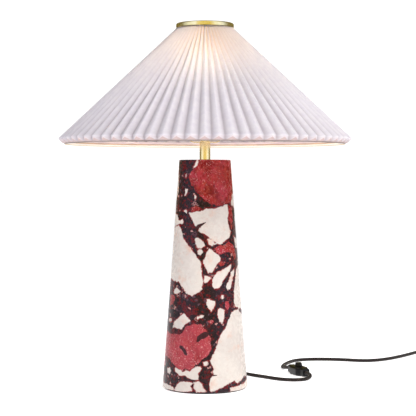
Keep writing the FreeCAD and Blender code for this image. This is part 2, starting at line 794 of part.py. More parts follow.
def spider():
    """Washer on the harp's stud with dropped wire arms out to the top ring."""
    washer = cylinder(SPIDER_WASHER_RADIUS, SPIDER_WASHER_THICKNESS, SEAT_Z)
    arm_z = SEAT_Z + SPIDER_ARM_RADIUS
    ring_z = RING_BASE + TOP_RING_HEIGHT * 0.45
    start = STUD_RADIUS + SPIDER_ARM_RADIUS * 2
    rise = SPIDER_WASHER_RADIUS + SPIDER_ARM_BEND
    run_out = rise + SPIDER_ARM_BEND * 1.6
    end = TOP_RING_INNER + SPIDER_BITE
    points = [
        Vector(start, 0, arm_z),
        Vector(rise, 0, arm_z),
        Vector(run_out, 0, ring_z),
        Vector(end, 0, ring_z),
    ]
    bends = {1: SPIDER_ARM_BEND, 2: SPIDER_ARM_BEND}
    arm = tube(rounded_wire(points, bends), SPIDER_ARM_RADIUS)
    arms = []
    for index in range(SPIDER_ARMS):
        arms.append(solid_at(arm, 0, 0, 0, 90 + 360 * index / SPIDER_ARMS))
    carrier = washer.fuse(arms)
    bore = STUD_RADIUS + FINIAL_GAP - 0.02
    return carrier.cut(cylinder(bore, 4 * SPIDER_ARM_RADIUS, SEAT_Z)).removeSplitter()


def finial():
    """Small turned brass knob that screws down on the spider."""
    base = SEAT_Z + 2 * SPIDER_ARM_RADIUS + FINIAL_GAP
    waist = STUD_RADIUS + FINIAL_GAP + FINIAL_WAIST_WALL
    knob = turned(
        [
            (0, base),
            (FINIAL_FOOT_RADIUS, base),
            (FINIAL_FOOT_RADIUS, base + 1.8),
            (waist, base + 2.6),
            (waist, base + 4.6),
            (FINIAL_RADIUS, base + FINIAL_HEIGHT * 0.55),
            (FINIAL_RADIUS, base + FINIAL_HEIGHT * 0.78),
            (FINIAL_RADIUS * 0.45, base + FINIAL_HEIGHT),
            (0, base + FINIAL_HEIGHT),
        ],
        {1: 0.4, 2: 0.4, 5: 1.6, 6: 2.2, 7: 1.0},
    )
    depth = SEAT_Z + STUD_LENGTH + 0.4 - base
    return knob.cut(cylinder(STUD_RADIUS + FINIAL_GAP, depth, base))


# Cord exit

def exit_radius():
    """Distance from the axis to the column's skin at the cord's height."""
    return COLUMN_FOOT_RADIUS - COLUMN_SLOPE * (CORD_EXIT_Z - PAD_THICKNESS)


def bushing_cutter(radius, length):
    return Part.makeCylinder(radius, length, Vector(0, 0, 0), Vector(1, 0, 0))


def along_exit(shape, distance):
    """Carry a shape made along +X out to a distance on the cord's exit line."""
    moved = shape.copy()
    moved.translate(Vector(distance, 0, CORD_EXIT_Z))
    moved.rotate(Vector(0, 0, 0), Vector(0, 0, 1), CORD_EXIT_HEADING)
    return moved


def cord_bushing():
    """Moulded bushing: shank in the marble, flange in the spot face, tapered sleeve."""
    seat = exit_radius() - SPOT_FACE_DEPTH
    shank = seat - RECESS_RADIUS
    outline = [
        (0, 0),
        (BUSHING_SHANK_RADIUS, 0),
        (BUSHING_SHANK_RADIUS, shank),
        (BUSHING_FLANGE_RADIUS, shank),
        (BUSHING_FLANGE_RADIUS, shank + BUSHING_FLANGE),
        (BUSHING_SLEEVE_RADIUS, shank + BUSHING_FLANGE),
        (BUSHING_TIP_RADIUS, shank + BUSHING_FLANGE + BUSHING_SLEEVE),
        (0, shank + BUSHING_FLANGE + BUSHING_SLEEVE),
    ]
    body = turned(outline, {4: 0.8, 5: 0.8, 6: 0.6})
    body.rotate(Vector(0, 0, 0), Vector(0, 1, 0), 90)
    return along_exit(body, RECESS_RADIUS)


def exit_point(distance):
    """Point on the cord's exit line."""
    angle = math.radians(CORD_EXIT_HEADING)
    return Vector(distance * math.cos(angle), distance * math.sin(angle), CORD_EXIT_Z)


def lead():
    """Inner lead from the bushing across the recess and up the pipe."""
    corner = Vector(0, 0, CORD_EXIT_Z)
    end = Vector(0, 0, PIPE_TOP + LEAD_ABOVE_PIPE)
    path = rounded_wire([exit_point(RECESS_RADIUS), corner, end], {1: LEAD_BEND})
    return tube(path, LEAD_RADIUS)


# Cord stretches

def cord_route(points, name):
    """Path of straight runs and tangent arcs, as large as the runs beside each point allow."""
    radii = {}
    for index in range(1, len(points) - 1):
        back = points[index - 1] - points[index]
        ahead = points[index + 1] - points[index]
        turn = math.pi - back.getAngle(ahead)
        shorter = min(back.Length, ahead.Length)
        radii[index] = 0.45 * shorter / math.tan(turn / 2)
    print(name, "bend radii", [round(radius, 1) for radius in radii.values()])
    return rounded_wire(points, radii)


def cord_tube(path, name):
    """Cord along a path, with its volume compared to section times length."""
    solid = tube(path, CORD_RADIUS)
    expected = math.pi * CORD_RADIUS ** 2 * path.Length
    print(name, "length", round(path.Length, 1), "volume ratio", round(solid.Volume / expected, 4))
    return solid


def switch_axis():
    """Unit vector from the switch's near end to its far end."""
    near = Vector(SWITCH_NEAR[0], SWITCH_NEAR[1], 0)
    far = Vector(SWITCH_FAR[0], SWITCH_FAR[1], 0)
    return (far - near).normalize()


def switch_end(place):
    return Vector(place[0], place[1], SWITCH_HEIGHT / 2)


def to_switch_points():
    tip = exit_radius() - SPOT_FACE_DEPTH + BUSHING_FLANGE + BUSHING_SLEEVE
    near = switch_end(SWITCH_NEAR)
    leaving = [exit_point(tip), exit_point(tip + BUSHING_LEAD)]
    middle = [Vector(*point) for point in TO_SWITCH]
    return leaving + middle + [near - switch_axis() * SWITCH_LEAD, near]


def to_coil_points():
    far = switch_end(SWITCH_FAR)
    middle = [Vector(*point) for point in TO_COIL]
    return [far, far + switch_axis() * SWITCH_LEAD] + middle


def half_turn(start, heading, radius, climb):
    """Clockwise half turn from a point, as two arcs that share their middle tangent."""
    side = Vector(heading.y, -heading.x, 0)
    end = start + side * (2 * radius) + Vector(0, 0, climb)
    span = end - start
    reach = span.Length / 2
    first_pole = start + heading * reach
    second_pole = end + heading * reach
    middle = (first_pole + second_pole) / 2
    arcs = [
        pole_arc(start, first_pole, middle),
        pole_arc(middle, second_pole, end),
    ]
    return arcs, end, heading * -1


def pole_arc(start, pole, end):
    """Arc from start to end whose end tangents meet at the pole."""
    half_chord = start.distanceToPoint(end) / 2
    centre_of_chord = (start + end) / 2
    to_pole = pole - centre_of_chord
    half_angle = math.atan2(to_pole.Length, half_chord)
    sagitta = half_chord * math.tan(half_angle / 2)
    return Part.Arc(start, centre_of_chord + to_pole.normalize() * sagitta, end).toShape()


def coil_path():
    """Spare cord: spirals in on the table, climbs a layer, and spirals out on top."""
    points = to_coil_points()
    heading = (points[-1] - points[-2]).normalize()
    start = points[-1]
    here = start + heading * (2 * CORD_RADIUS)
    edges = [Part.makeLine(start, here)]
    shrink = COIL_PITCH / 2
    inward = [COIL_OUTER_RADIUS - shrink * index for index in range(COIL_HALF_TURNS)]
    climb_radius = COIL_OUTER_RADIUS - shrink * COIL_HALF_TURNS
    steps = [(radius, 0.0) for radius in inward]
    steps.append((climb_radius, COIL_LIFT))
    steps.extend((radius, 0.0) for radius in reversed(inward))
    for radius, climb in steps:
        arcs, here, heading = half_turn(here, heading, radius, climb)
        edges.extend(arcs)
    end = here + heading * (2 * CORD_RADIUS)
    edges.append(Part.makeLine(here, end))
    return Part.Wire(edges), end, heading


def print_self_gap(path):
    """Least gap between turns of the coil, measured on points along its middle line."""
    step = 2.0
    count = int(path.Length / step)
    points = path.discretize(Number=count)
    apart = int(6 * CORD_RADIUS / step)
    least = min(
        points[index].distanceToPoint(other)
        for index in range(count)
        for other in points[index + apart:]
    )
    print("coil least self gap", round(least - 2 * CORD_RADIUS, 2))


def to_plug_points():
    """Short stretch off the coil that swings clear of it and drops to the plug."""
    _, here, heading = coil_path()
    drop = (here.z - PLUG_THICKNESS / 2) / (len(PLUG_RUNS) - 2)
    points = [here]
    for index, run in enumerate(PLUG_RUNS):
        if 0 < index < len(PLUG_RUNS):
            angle = math.radians(PLUG_TURN)
            heading = Vector(
                heading.x * math.cos(angle) - heading.y * math.sin(angle),
                heading.x * math.sin(angle) + heading.y * math.cos(angle),
                0,
            )
        here = here + heading * run
        if 0 < index < len(PLUG_RUNS) - 1:
            here = here - Vector(0, 0, drop)
        points.append(here)
    return points, heading


# Switch

def switch_outline(z):
    """Plan of the switch: square ends swelling to a rounded belly."""
    length = Vector(*SWITCH_NEAR, 0).distanceToPoint(Vector(*SWITCH_FAR, 0))
    half = length / 2
    end = SWITCH_END_WIDTH / 2
    belly = SWITCH_BELLY_WIDTH / 2
    shoulder = length * 0.22
    points = [
        Vector(-half, -end, z),
        Vector(-shoulder * 1.5, -end, z),
        Vector(-shoulder, -belly, z),
        Vector(shoulder, -belly, z),
        Vector(shoulder * 1.5, -end, z),
        Vector(half, -end, z),
        Vector(half, end, z),
        Vector(shoulder * 1.5, end, z),
        Vector(shoulder, belly, z),
        Vector(-shoulder, belly, z),
        Vector(-shoulder * 1.5, end, z),
        Vector(-half, end, z),
    ]
    soft = {1: 5.0, 2: 4.5, 3: 4.5, 4: 5.0, 7: 5.0, 8: 4.5, 9: 4.5, 10: 5.0}
    return Part.Face(rounded_wire(points, soft, closed=True))


def switch_middle():
    x = (SWITCH_NEAR[0] + SWITCH_FAR[0]) / 2
    y = (SWITCH_NEAR[1] + SWITCH_FAR[1]) / 2
    return x, y


def switch_heading():
    axis = switch_axis()
    return math.degrees(math.atan2(axis.y, axis.x))


def switch_half(base, rounded_face):
    """One moulded half: the outline pushed up, with its outer rim rounded."""
    height = SWITCH_HEIGHT / 2
    block = switch_outline(base).extrude(Vector(0, 0, height))
    rim = []
    for edge in block.Edges:
        box = edge.BoundBox
        if abs(box.ZMin - rounded_face) < 1e-6 and abs(box.ZMax - rounded_face) < 1e-6:
            rim.append(edge)
    return block.makeFillet(SWITCH_EDGE, rim)


def countersunk(x, gap):
    """Countersunk screw shape with its head on the table side, grown by a gap all round."""
    head = Part.makeCone(SWITCH_SCREW_HEAD + gap, SWITCH_SCREW_RADIUS + gap,
                         SWITCH_SCREW_HEAD * 0.7, Vector(x, 0, 0))
    shank = Part.makeCylinder(SWITCH_SCREW_RADIUS + gap, SWITCH_SCREW_DEPTH + gap, Vector(x, 0, 0))
    return head.fuse(shank)


def switch_lower():
    half = switch_half(0.0, 0.0)
    for side in (-1, 1):
        half = half.cut(countersunk(side * switch_screw_reach(), SLIP_GAP))
    return half


def switch_upper():
    middle = SWITCH_HEIGHT / 2
    half = switch_half(middle, SWITCH_HEIGHT)
    well = cylinder(DIAL_SHAFT_RADIUS + DIAL_GAP, DIAL_SHAFT + 0.3, SWITCH_HEIGHT - DIAL_SHAFT - 0.3)
    return half.cut(well)


def switch_screw_reach():
    length = Vector(*SWITCH_NEAR, 0).distanceToPoint(Vector(*SWITCH_FAR, 0))
    return length * 0.33


def switch_screws():
    """Slotted countersunk screws under the switch, set just below its face."""
    sunk = 0.25
    screws = []
    for side in (-1, 1):
        x = side * switch_screw_reach()
        reach = SWITCH_SCREW_HEAD * 2
        below = Part.makeBox(reach * 2, reach * 2, reach, Vector(x - reach, -reach, sunk - reach))
        slot = Part.makeBox(reach * 2, 0.6, sunk + 0.8, Vector(x - reach, -0.3, 0))
        screws.append(countersunk(x, 0.0).cut(below).cut(slot))
    return Part.Compound(screws)


def switch_dial():
    """Fluted knob with a dished top, on a shaft into the switch."""
    base = SWITCH_HEIGHT + 0.3
    knob = turned(
        [
            (0, base),
            (DIAL_RADIUS, base),
            (DIAL_TOP_RADIUS, base + DIAL_HEIGHT),
            (DIAL_TOP_RADIUS * 0.7, base + DIAL_HEIGHT),
            (DIAL_TOP_RADIUS * 0.5, base + DIAL_HEIGHT - 1.0),
            (0, base + DIAL_HEIGHT - 1.0),
        ],
        {1: 0.5, 2: 0.7, 3: 0.5, 4: 0.8},
    )
    lean = math.degrees(math.atan2(DIAL_RADIUS - DIAL_TOP_RADIUS, DIAL_HEIGHT))
    groove = Part.makeCylinder(0.55, DIAL_HEIGHT * 1.5, Vector(0, 0, -DIAL_HEIGHT * 0.2))
    groove.rotate(Vector(0, 0, 0), Vector(0, 1, 0), -lean)
    groove.translate(Vector(DIAL_RADIUS + 0.15, 0, base))
    grooves = []
    for index in range(DIAL_FLUTES):
        grooves.append(solid_at(groove, 0, 0, 0, 360 * index / DIAL_FLUTES))
    shaft = cylinder(DIAL_SHAFT_RADIUS, DIAL_SHAFT + 0.6, SWITCH_HEIGHT - DIAL_SHAFT)
    return knob.cut(grooves).fuse(shaft).removeSplitter()


def on_switch(shape):
    x, y = switch_middle()
    return solid_at(shape, x, y, 0, switch_heading())


# Plug

def plug_section(x, width, height):
    """Rounded rectangle across the plug at one distance from the cord."""
    centre = PLUG_THICKNESS / 2
    corners = [
        Vector(x, -width / 2, centre - height / 2),
        Vector(x, width / 2, centre - height / 2),
        Vector(x, width / 2, centre + height / 2),
        Vector(x, -width / 2, centre + height / 2),
    ]
    rounding = min(width, height) * 0.3
    radii = {index: rounding for index in range(4)}
    return rounded_wire(corners, radii, closed=True)


def plug_body():
    """Moulded grip that swells from the cord to a flat face."""
    neck_height = PLUG_NECK_WIDTH * 0.9
    sections = [
        plug_section(0, PLUG_NECK_WIDTH, neck_height),
        plug_section(PLUG_LENGTH * 0.35, PLUG_NECK_WIDTH * 1.25, neck_height * 1.1),
        plug_section(PLUG_LENGTH * 0.7, PLUG_WIDTH, PLUG_THICKNESS),
        plug_section(PLUG_LENGTH, PLUG_WIDTH, PLUG_THICKNESS),
    ]
    body = Part.makeLoft(sections, True, True)
    for side in (-1, 1):
        body = body.cut(blade(side, SLIP_GAP))
    return body


def blade(side, gap=0.0):
    """Flat contact blade, rounded at its tip and rooted in the plug."""
    width = BLADE_WIDTH + 2 * gap
    thickness = BLADE_THICKNESS + 2 * gap
    start = PLUG_LENGTH - BLADE_ROOT - gap
    length = BLADE_LENGTH + BLADE_ROOT + gap
    y = side * BLADE_SPACING / 2 - thickness / 2
    bar = Part.makeBox(length, thickness, width, Vector(start, y, PLUG_THICKNESS / 2 - width / 2))
    tip = []
    for edge in bar.Edges:
        middle = edge.CenterOfMass
        if abs(middle.x - start - length) < 1e-6 and abs(middle.z - PLUG_THICKNESS / 2) > 1.0:
            tip.append(edge)
    return bar.makeFillet(1.6, tip)


def plug_blades():
    return Part.Compound([blade(-1), blade(1)])


def on_plug(shape):
    points, heading = to_plug_points()
    angle = math.degrees(math.atan2(heading.y, heading.x))
    return solid_at(shape, points[-1].x, points[-1].y, 0, angle)


# Every piece, by the name of its file

def coil():
    path, _, _ = coil_path()
    print_self_gap(path)
    return cord_tube(path, "cord_coil")


def pieces():
    to_switch = cord_route(to_switch_points(), "cord_to_switch")
    to_coil = cord_route(to_coil_points(), "cord_to_coil")
    to_plug = cord_route(to_plug_points()[0], "cord_to_plug")
    return {
        "foot_pad": foot_pad(),
        "marble_column": column(),
        "threaded_pipe": pipe(),
        "fender_washer": fender_washer(),
        "lock_washer": lock_washer(),
        "bottom_nut": bottom_nut(),
        "brass_neck": neck(),
        "harp_saddle": harp_saddle(),
        "top_nut": top_nut(),
        "harp": harp(),
        "ferrule_left": ferrule(-1),
        "ferrule_right": ferrule(1),
        "socket_cap": socket_cap(),
        "cap_screw": cap_screw(),
        "socket_shell": socket_shell(),
        "shell_liner": shell_liner(),
        "holder_body": holder_body(),
        "terminal_screws": terminal_screws(),
        "screw_shell": screw_shell(),
        "centre_contact": centre_contact(),
        "bulb_base": bulb_base(),
        "bulb_glass": bulb_glass(),
        "shade": shade(),
        "hem_wire": hem_wire(),
        "top_ring": top_ring(),
        "spider": spider(),
        "finial": finial(),
        "cord_bushing": cord_bushing(),
        "inner_lead": lead(),
        "cord_to_switch": cord_tube(to_switch, "cord_to_switch"),
        "switch_lower": on_switch(switch_lower()),
        "switch_upper": on_switch(switch_upper()),
        "switch_screws": on_switch(switch_screws()),
        "switch_dial": on_switch(switch_dial()),
        "cord_to_coil": cord_tube(to_coil, "cord_to_coil"),
        "cord_coil": coil(),
        "cord_to_plug": cord_tube(to_plug, "cord_to_plug"),
        "plug_body": on_plug(plug_body()),
        "plug_blades": on_plug(plug_blades()),
    }


os.makedirs("parts", exist_ok=True)
for node, shape in pieces().items():
    shape.exportStep("parts/" + node + ".step")
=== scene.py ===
import math

import bpy
import numpy as np
from mathutils import Matrix, Vector


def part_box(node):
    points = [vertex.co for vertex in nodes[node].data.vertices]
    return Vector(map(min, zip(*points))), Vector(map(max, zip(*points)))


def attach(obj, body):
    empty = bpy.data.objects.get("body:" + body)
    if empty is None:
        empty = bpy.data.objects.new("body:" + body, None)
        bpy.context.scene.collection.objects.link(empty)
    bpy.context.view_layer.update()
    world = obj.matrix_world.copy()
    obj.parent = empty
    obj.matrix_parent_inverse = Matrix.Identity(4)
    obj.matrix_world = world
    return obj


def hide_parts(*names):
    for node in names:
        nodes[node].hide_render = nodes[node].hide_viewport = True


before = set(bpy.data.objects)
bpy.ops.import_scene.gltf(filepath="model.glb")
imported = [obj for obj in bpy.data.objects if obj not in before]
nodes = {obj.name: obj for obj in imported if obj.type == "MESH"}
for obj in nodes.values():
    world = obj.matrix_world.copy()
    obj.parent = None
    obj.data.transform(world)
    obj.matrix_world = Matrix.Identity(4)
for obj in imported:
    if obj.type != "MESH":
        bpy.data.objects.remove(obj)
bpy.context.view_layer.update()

MM = 0.001

# Column table lamp, in metres in the frame's own axes; named sizes are in millimetres


# Camera at the photograph's angle: almost level, a little under the shade

PICTURE_WIDTH = 416
FOCAL_PIXELS = 1270.0
HORIZON_PIXEL = 176.0
SENSOR_WIDTH = 36.0
CAMERA_PLACE = (0.005, -2.093, 0.3494)


def make_camera():
    camera = bpy.data.objects.new("camera", bpy.data.cameras.new("camera"))
    bpy.context.scene.collection.objects.link(camera)
    camera.data.sensor_width = SENSOR_WIDTH
    camera.data.lens = FOCAL_PIXELS / PICTURE_WIDTH * SENSOR_WIDTH
    down = math.atan2(PICTURE_WIDTH / 2 - HORIZON_PIXEL, FOCAL_PIXELS)
    camera.location = CAMERA_PLACE
    camera.rotation_euler = (math.pi / 2 - down, 0, 0)
    bpy.context.scene.camera = camera


make_camera()


# Shape helpers

def new_object(name, data):
    item = bpy.data.objects.new(name, data)
    bpy.context.scene.collection.objects.link(item)
    return item


def grid_piece(name, points, wrap_rows=False, wrap_columns=False, uv=None):
    """Quads over (rows, columns, 3) points in metres, with own coordinates uv in mm."""
    rows, columns = points.shape[:2]
    row = np.arange(rows if wrap_rows else rows - 1)
    column = np.arange(columns if wrap_columns else columns - 1)
    low, left = np.meshgrid(row, column, indexing="ij")
    high = (low + 1) % rows
    right = (left + 1) % columns
    quads = np.stack(
        [low * columns + left, low * columns + right, high * columns + right, high * columns + left],
        axis=-1,
    ).reshape(-1, 4)
    mesh = bpy.data.meshes.new(name)
    mesh.from_pydata(points.reshape(-1, 3).tolist(), [], quads.tolist())
    mesh.polygons.foreach_set("use_smooth", np.full(len(quads), True))
    if uv is not None:
        layer = mesh.uv_layers.new(name="own_mm")
        corner = np.zeros(len(mesh.loops), dtype=np.int32)
        mesh.loops.foreach_get("vertex_index", corner)
        flat = uv.reshape(-1, 2)[corner]
        if wrap_columns:
            # the seam's far corners carry on past the last column
            step = uv[0, 1, 0] - uv[0, 0, 0]
            far = np.zeros((len(quads), 4), dtype=bool)
            far[:, 1] = far[:, 2] = left.reshape(-1) == columns - 1
            flat[far.reshape(-1), 0] = uv[0, -1, 0] + step
        layer.data.foreach_set("uv", flat.astype(np.float32).ravel())
    mesh.update()
    return new_object(name, mesh)


def lathe(name, profile, segments, closed=True):
    """Surface of revolution about Z from (radius, z) rows in millimetres, top row last."""
    profile = np.asarray(profile, dtype=float)
    angle = np.linspace(0, 2 * math.pi, segments, endpoint=False)
    radius = profile[:, 0][:, None]
    height = np.repeat(profile[:, 1][:, None], segments, axis=1)
    points = np.stack([radius * np.cos(angle), radius * np.sin(angle), height], axis=-1)
    return grid_piece(name, points * MM, wrap_rows=closed, wrap_columns=True)


def along(name, path, radius, around):
    """Tube round a path in metres, both ends closed, its own coordinates in mm."""
    path = np.asarray(path, dtype=float)
    ahead = np.gradient(path, axis=0)
    ahead /= np.linalg.norm(ahead, axis=1)[:, None]
    side = np.cross(ahead, [0.0, 0.0, 1.0])
    side /= np.linalg.norm(side, axis=1)[:, None]
    up = np.cross(side, ahead)
    angle = np.linspace(0, 2 * math.pi, around, endpoint=False)
    cosine = np.cos(angle)[None, :, None]
    sine = np.sin(angle)[None, :, None]
    ring = side[:, None, :] * cosine + up[:, None, :] * sine
    skin = path[:, None, :] + ring * radius
    start = np.repeat(path[:1, None, :], around, axis=1)
    end = np.repeat(path[-1:, None, :], around, axis=1)
    points = np.concatenate([start, skin, end])[::-1]
    steps = np.linalg.norm(np.diff(path, axis=0), axis=1)
    length = np.concatenate([[0.0, 0.0], np.cumsum(steps), [steps.sum()]])[::-1] / MM
    round_it = angle * radius / MM
    uv = np.stack(np.broadcast_arrays(round_it[None, :], length[:, None]), axis=-1)
    return grid_piece(name, points, wrap_columns=True, uv=uv)


def measured(points):
    """Points of the smooth line that a NURBS spline draws through its control points."""
    curve = bpy.data.curves.new("route", "CURVE")
    curve.dimensions = "3D"
    spline = curve.splines.new("NURBS")
    spline.points.add(len(points) - 1)
    for point, place in zip(spline.points, points):
        point.co = (*place, 1.0)
    spline.order_u = 3
    spline.use_endpoint_u = True
    spline.resolution_u = 6
    item = new_object("route", curve)
    mesh = bpy.data.meshes.new_from_object(item)
    line = np.zeros(len(mesh.vertices) * 3)
    mesh.vertices.foreach_get("co", line)
    bpy.data.objects.remove(item)
    bpy.data.curves.remove(curve)
    bpy.data.meshes.remove(mesh)
    line = line.reshape(-1, 3)
    apart = np.linalg.norm(np.diff(line, axis=0), axis=1) > 1e-6
    return line[np.concatenate([[True], apart])]


# Cords: points in metres, the same route as in the part's source

CORD_RADIUS = 3.0
BUSHING_TIP = (0.04793, 0.07671, 0.012)
TO_SWITCH = [
    BUSHING_TIP,
    (0.0543, 0.0869, 0.012), (0.0623, 0.0976, 0.0094), (0.0736, 0.1046, 0.0056),
    (0.0866, 0.1042, 0.0034), (0.0985, 0.0956, 0.003), (0.1105, 0.0824, 0.003),
    (0.1212, 0.0716, 0.003), (0.1325, 0.063, 0.003), (0.145, 0.0585, 0.003),
    (0.1585, 0.058, 0.003), (0.17, 0.063, 0.0032), (0.178, 0.0725, 0.0042),
    (0.1815, 0.084, 0.006), (0.1801, 0.0949, 0.0075), (0.1755, 0.106, 0.0075),
]
TO_COIL = [
    (0.153, 0.16, 0.0075), (0.1484, 0.1711, 0.0075), (0.1426, 0.1835, 0.0054),
    (0.1395, 0.2, 0.0034), (0.1415, 0.219, 0.003), (0.1475, 0.241, 0.003),
    (0.1555, 0.263, 0.003), (0.1655, 0.282, 0.003), (0.18, 0.295, 0.003),
    (0.198, 0.301, 0.003), (0.218, 0.3025, 0.003), (0.241, 0.3, 0.003),
    (0.264, 0.294, 0.003), (0.283, 0.286, 0.003), (0.301, 0.282, 0.003),
    (0.32, 0.2875, 0.003), (0.341, 0.302, 0.003), (0.363, 0.325, 0.003),
    (0.387, 0.356, 0.003), (0.409, 0.389, 0.003), (0.424, 0.408, 0.003),
    (0.438, 0.424, 0.003),
]
COIL_HALF_TURNS = 5
COIL_PITCH = 6.7
COIL_LIFT = 6.7
COIL_OUTER_RADIUS = 39.0
POINTS_A_HALF_TURN = 8
PLUG_RUNS = (14.0, 14.0, 14.0, 12.0)
PLUG_TURN = 22.0
PLUG_DROP = (0.0, 0.85, 0.85, 0.0)


def coil_points(start, heading):
    """Spare cord: half turns that spiral in, climb a layer and spiral out on top.

    The control points stand a little outside the turns, because the spline cuts in.
    """
    spacing = math.pi / POINTS_A_HALF_TURN
    outside = 1 / math.cos(spacing / 2)
    inward = [COIL_OUTER_RADIUS - COIL_PITCH / 2 * turn for turn in range(COIL_HALF_TURNS)]
    middle = COIL_OUTER_RADIUS - COIL_PITCH / 2 * COIL_HALF_TURNS
    half_turns = [(radius, 0.0) for radius in inward]
    half_turns.append((middle, COIL_LIFT))
    half_turns.extend((radius, 0.0) for radius in reversed(inward))
    here = start + heading * (2 * CORD_RADIUS * MM)
    points = [here]
    for radius, climb in half_turns:
        side = Vector((heading.y, -heading.x, 0))
        centre = here + side * (radius * MM)
        for step in range(POINTS_A_HALF_TURN):
            angle = spacing * (step + 0.5)
            spoke = heading * math.sin(angle) - side * math.cos(angle)
            rise = Vector((0, 0, climb * MM * (step + 0.5) / POINTS_A_HALF_TURN))
            points.append(centre + spoke * (radius * outside * MM) + rise)
        here = centre + side * (radius * MM) + Vector((0, 0, climb * MM))
        heading = -heading
    return points, here, heading


def plug_points(here, heading):
    """Last runs of the cord, turning off the coil and settling at the plug's height."""
    turn = math.radians(PLUG_TURN)
    points = []
    for run, drop in zip(PLUG_RUNS, PLUG_DROP):
        if points:
            heading = Vector((
                heading.x * math.cos(turn) - heading.y * math.sin(turn),
                heading.x * math.sin(turn) + heading.y * math.cos(turn),
                0,
            ))
        here = here + heading * (run * MM) - Vector((0, 0, drop * MM))
        points.append(here)
    return points


def cord_piece(name, points):
    line = measured([tuple(point) for point in points])
    piece = along(name, line, CORD_RADIUS * MM, 20)
    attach(piece, "lamp")
    return piece, line


cord_near, near_line = cord_piece("cord_near", TO_SWITCH)
approach = (Vector(TO_COIL[-1]) - Vector(TO_COIL[-2])).normalized()
wound, leave, leaving = coil_points(Vector(TO_COIL[-1]), approach)
leave = leave + leaving * (2 * CORD_RADIUS * MM)
far_route = TO_COIL + wound + [leave] + plug_points(leave, leaving)
cord_far, far_line = cord_piece("cord_far", far_route)
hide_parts("cord_to_switch")
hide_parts("cord_to_coil", "cord_coil", "cord_to_plug")


# Materials: one helper adds every node; sizes of patterns are in millimetres

def linear(code):
    """Colour of an sRGB hex code in the linear values that the sockets take."""
    parts = [int(code[at:at + 2], 16) / 255 for at in (1, 3, 5)]
    return tuple(p / 12.92 if p <= 0.04045 else ((p + 0.055) / 1.055) ** 2.4 for p in parts) + (1.0,)


def add(tree, kind, inputs=None, **settings):
    """One shader node, its settings, and its inputs as values or as sockets to link."""
    node = tree.nodes.new("ShaderNode" + kind)
    for key, value in settings.items():
        setattr(node, key, value)
    for key, value in (inputs or {}).items():
        if isinstance(value, bpy.types.NodeSocket):
            tree.links.new(value, node.inputs[key])
        else:
            node.inputs[key].default_value = value
    return node


def maths(tree, operation, *values):
    return add(tree, "Math", dict(enumerate(values)), operation=operation).outputs[0]


def times(tree, *values):
    return maths(tree, "MULTIPLY", *values)


def apart(tree, vector):
    """The X, Y and Z of a vector."""
    return add(tree, "SeparateXYZ", {"Vector": vector}).outputs[:]


def own_place(tree):
    """Place on a piece, in the piece's own metres."""
    return add(tree, "TexCoord").outputs["Object"]


def own_mm(tree):
    """The surface's own coordinates in millimetres: round or across it, and along it."""
    return apart(tree, add(tree, "UVMap", uv_map="own_mm").outputs["UV"])[:2]


def carried(tree, name):
    """The number of this name that the mesh carries at each point."""
    return add(tree, "Attribute", attribute_name=name).outputs["Fac"]


def mix(tree, share, first, second):
    """Shader between two others."""
    return add(tree, "MixShader", {0: share, 1: first, 2: second}).outputs[0]


def noise(tree, size, detail=4.0, rough=0.5, distortion=0.0, coordinates=None):
    """Noise of a feature size in millimetres, read in the piece's own metres."""
    if coordinates is None:
        coordinates = own_place(tree)
    inputs = {
        "Vector": coordinates, "Scale": 1 / (size * MM),
        "Detail": detail, "Roughness": rough, "Distortion": distortion,
    }
    return add(tree, "TexNoise", inputs).outputs["Fac"]


def band(tree, value, low, high, to_low=0.0, to_high=1.0):
    """Smooth step of a value from one level to another."""
    inputs = {"Value": value, "From Min": low, "From Max": high, "To Min": to_low, "To Max": to_high}
    return add(tree, "MapRange", inputs, interpolation_type="SMOOTHSTEP").outputs["Result"]


def blend(tree, share, first, second):
    """Colour between two colours, each a hex code or a socket."""
    mixed = add(tree, "Mix", {"Factor": share}, data_type="RGBA")
    for at, colour in ((6, first), (7, second)):
        if isinstance(colour, str):
            mixed.inputs[at].default_value = linear(colour)
        else:
            tree.links.new(colour, mixed.inputs[at])
    return mixed.outputs[2]


def bump(tree, height, distance, strength=1.0):
    inputs = {"Height": height, "Distance": distance * MM, "Strength": strength}
    return add(tree, "Bump", inputs).outputs["Normal"]


def surface(name, **inputs):
    """New material with one main shader; inputs name its sockets with _ for a space."""
    material = bpy.data.materials.new(name)
    material.use_nodes = True
    tree = material.node_tree
    tree.nodes.clear()
    shader = add(tree, "BsdfPrincipled")
    output = add(tree, "OutputMaterial")
    tree.links.new(shader.outputs[0], output.inputs["Surface"])
    for key, value in inputs.items():
        socket = shader.inputs[key.replace("_", " ")]
        socket.default_value = linear(value) if isinstance(value, str) else value
    return material, tree, shader, output


def feed(tree, shader, **sockets):
    for key, socket in sockets.items():
        tree.links.new(socket, shader.inputs[key.replace("_", " ")])


# Shade sizes in millimetres, the part's own

PLEATS = 72
RIDGE_RADIUS = 240.0
RIDGE_Z = 411.0
PLEAT_DEPTH = 7.5
HEM_RADIUS = 229.4
HEM_Z = 402.0
TOP_RADIUS = 46.0
TOP_DEPTH = 10.0
TOP_Z = 592.5
SHEET = 0.8
SLANT = 1.4
ROUND_Z = 408.0
ROUND_RADIUS = 238.0
VALLEY_END_Z = 403.6
VALLEY_END_RADIUS = 230.9
FACET_SHARE = 0.7


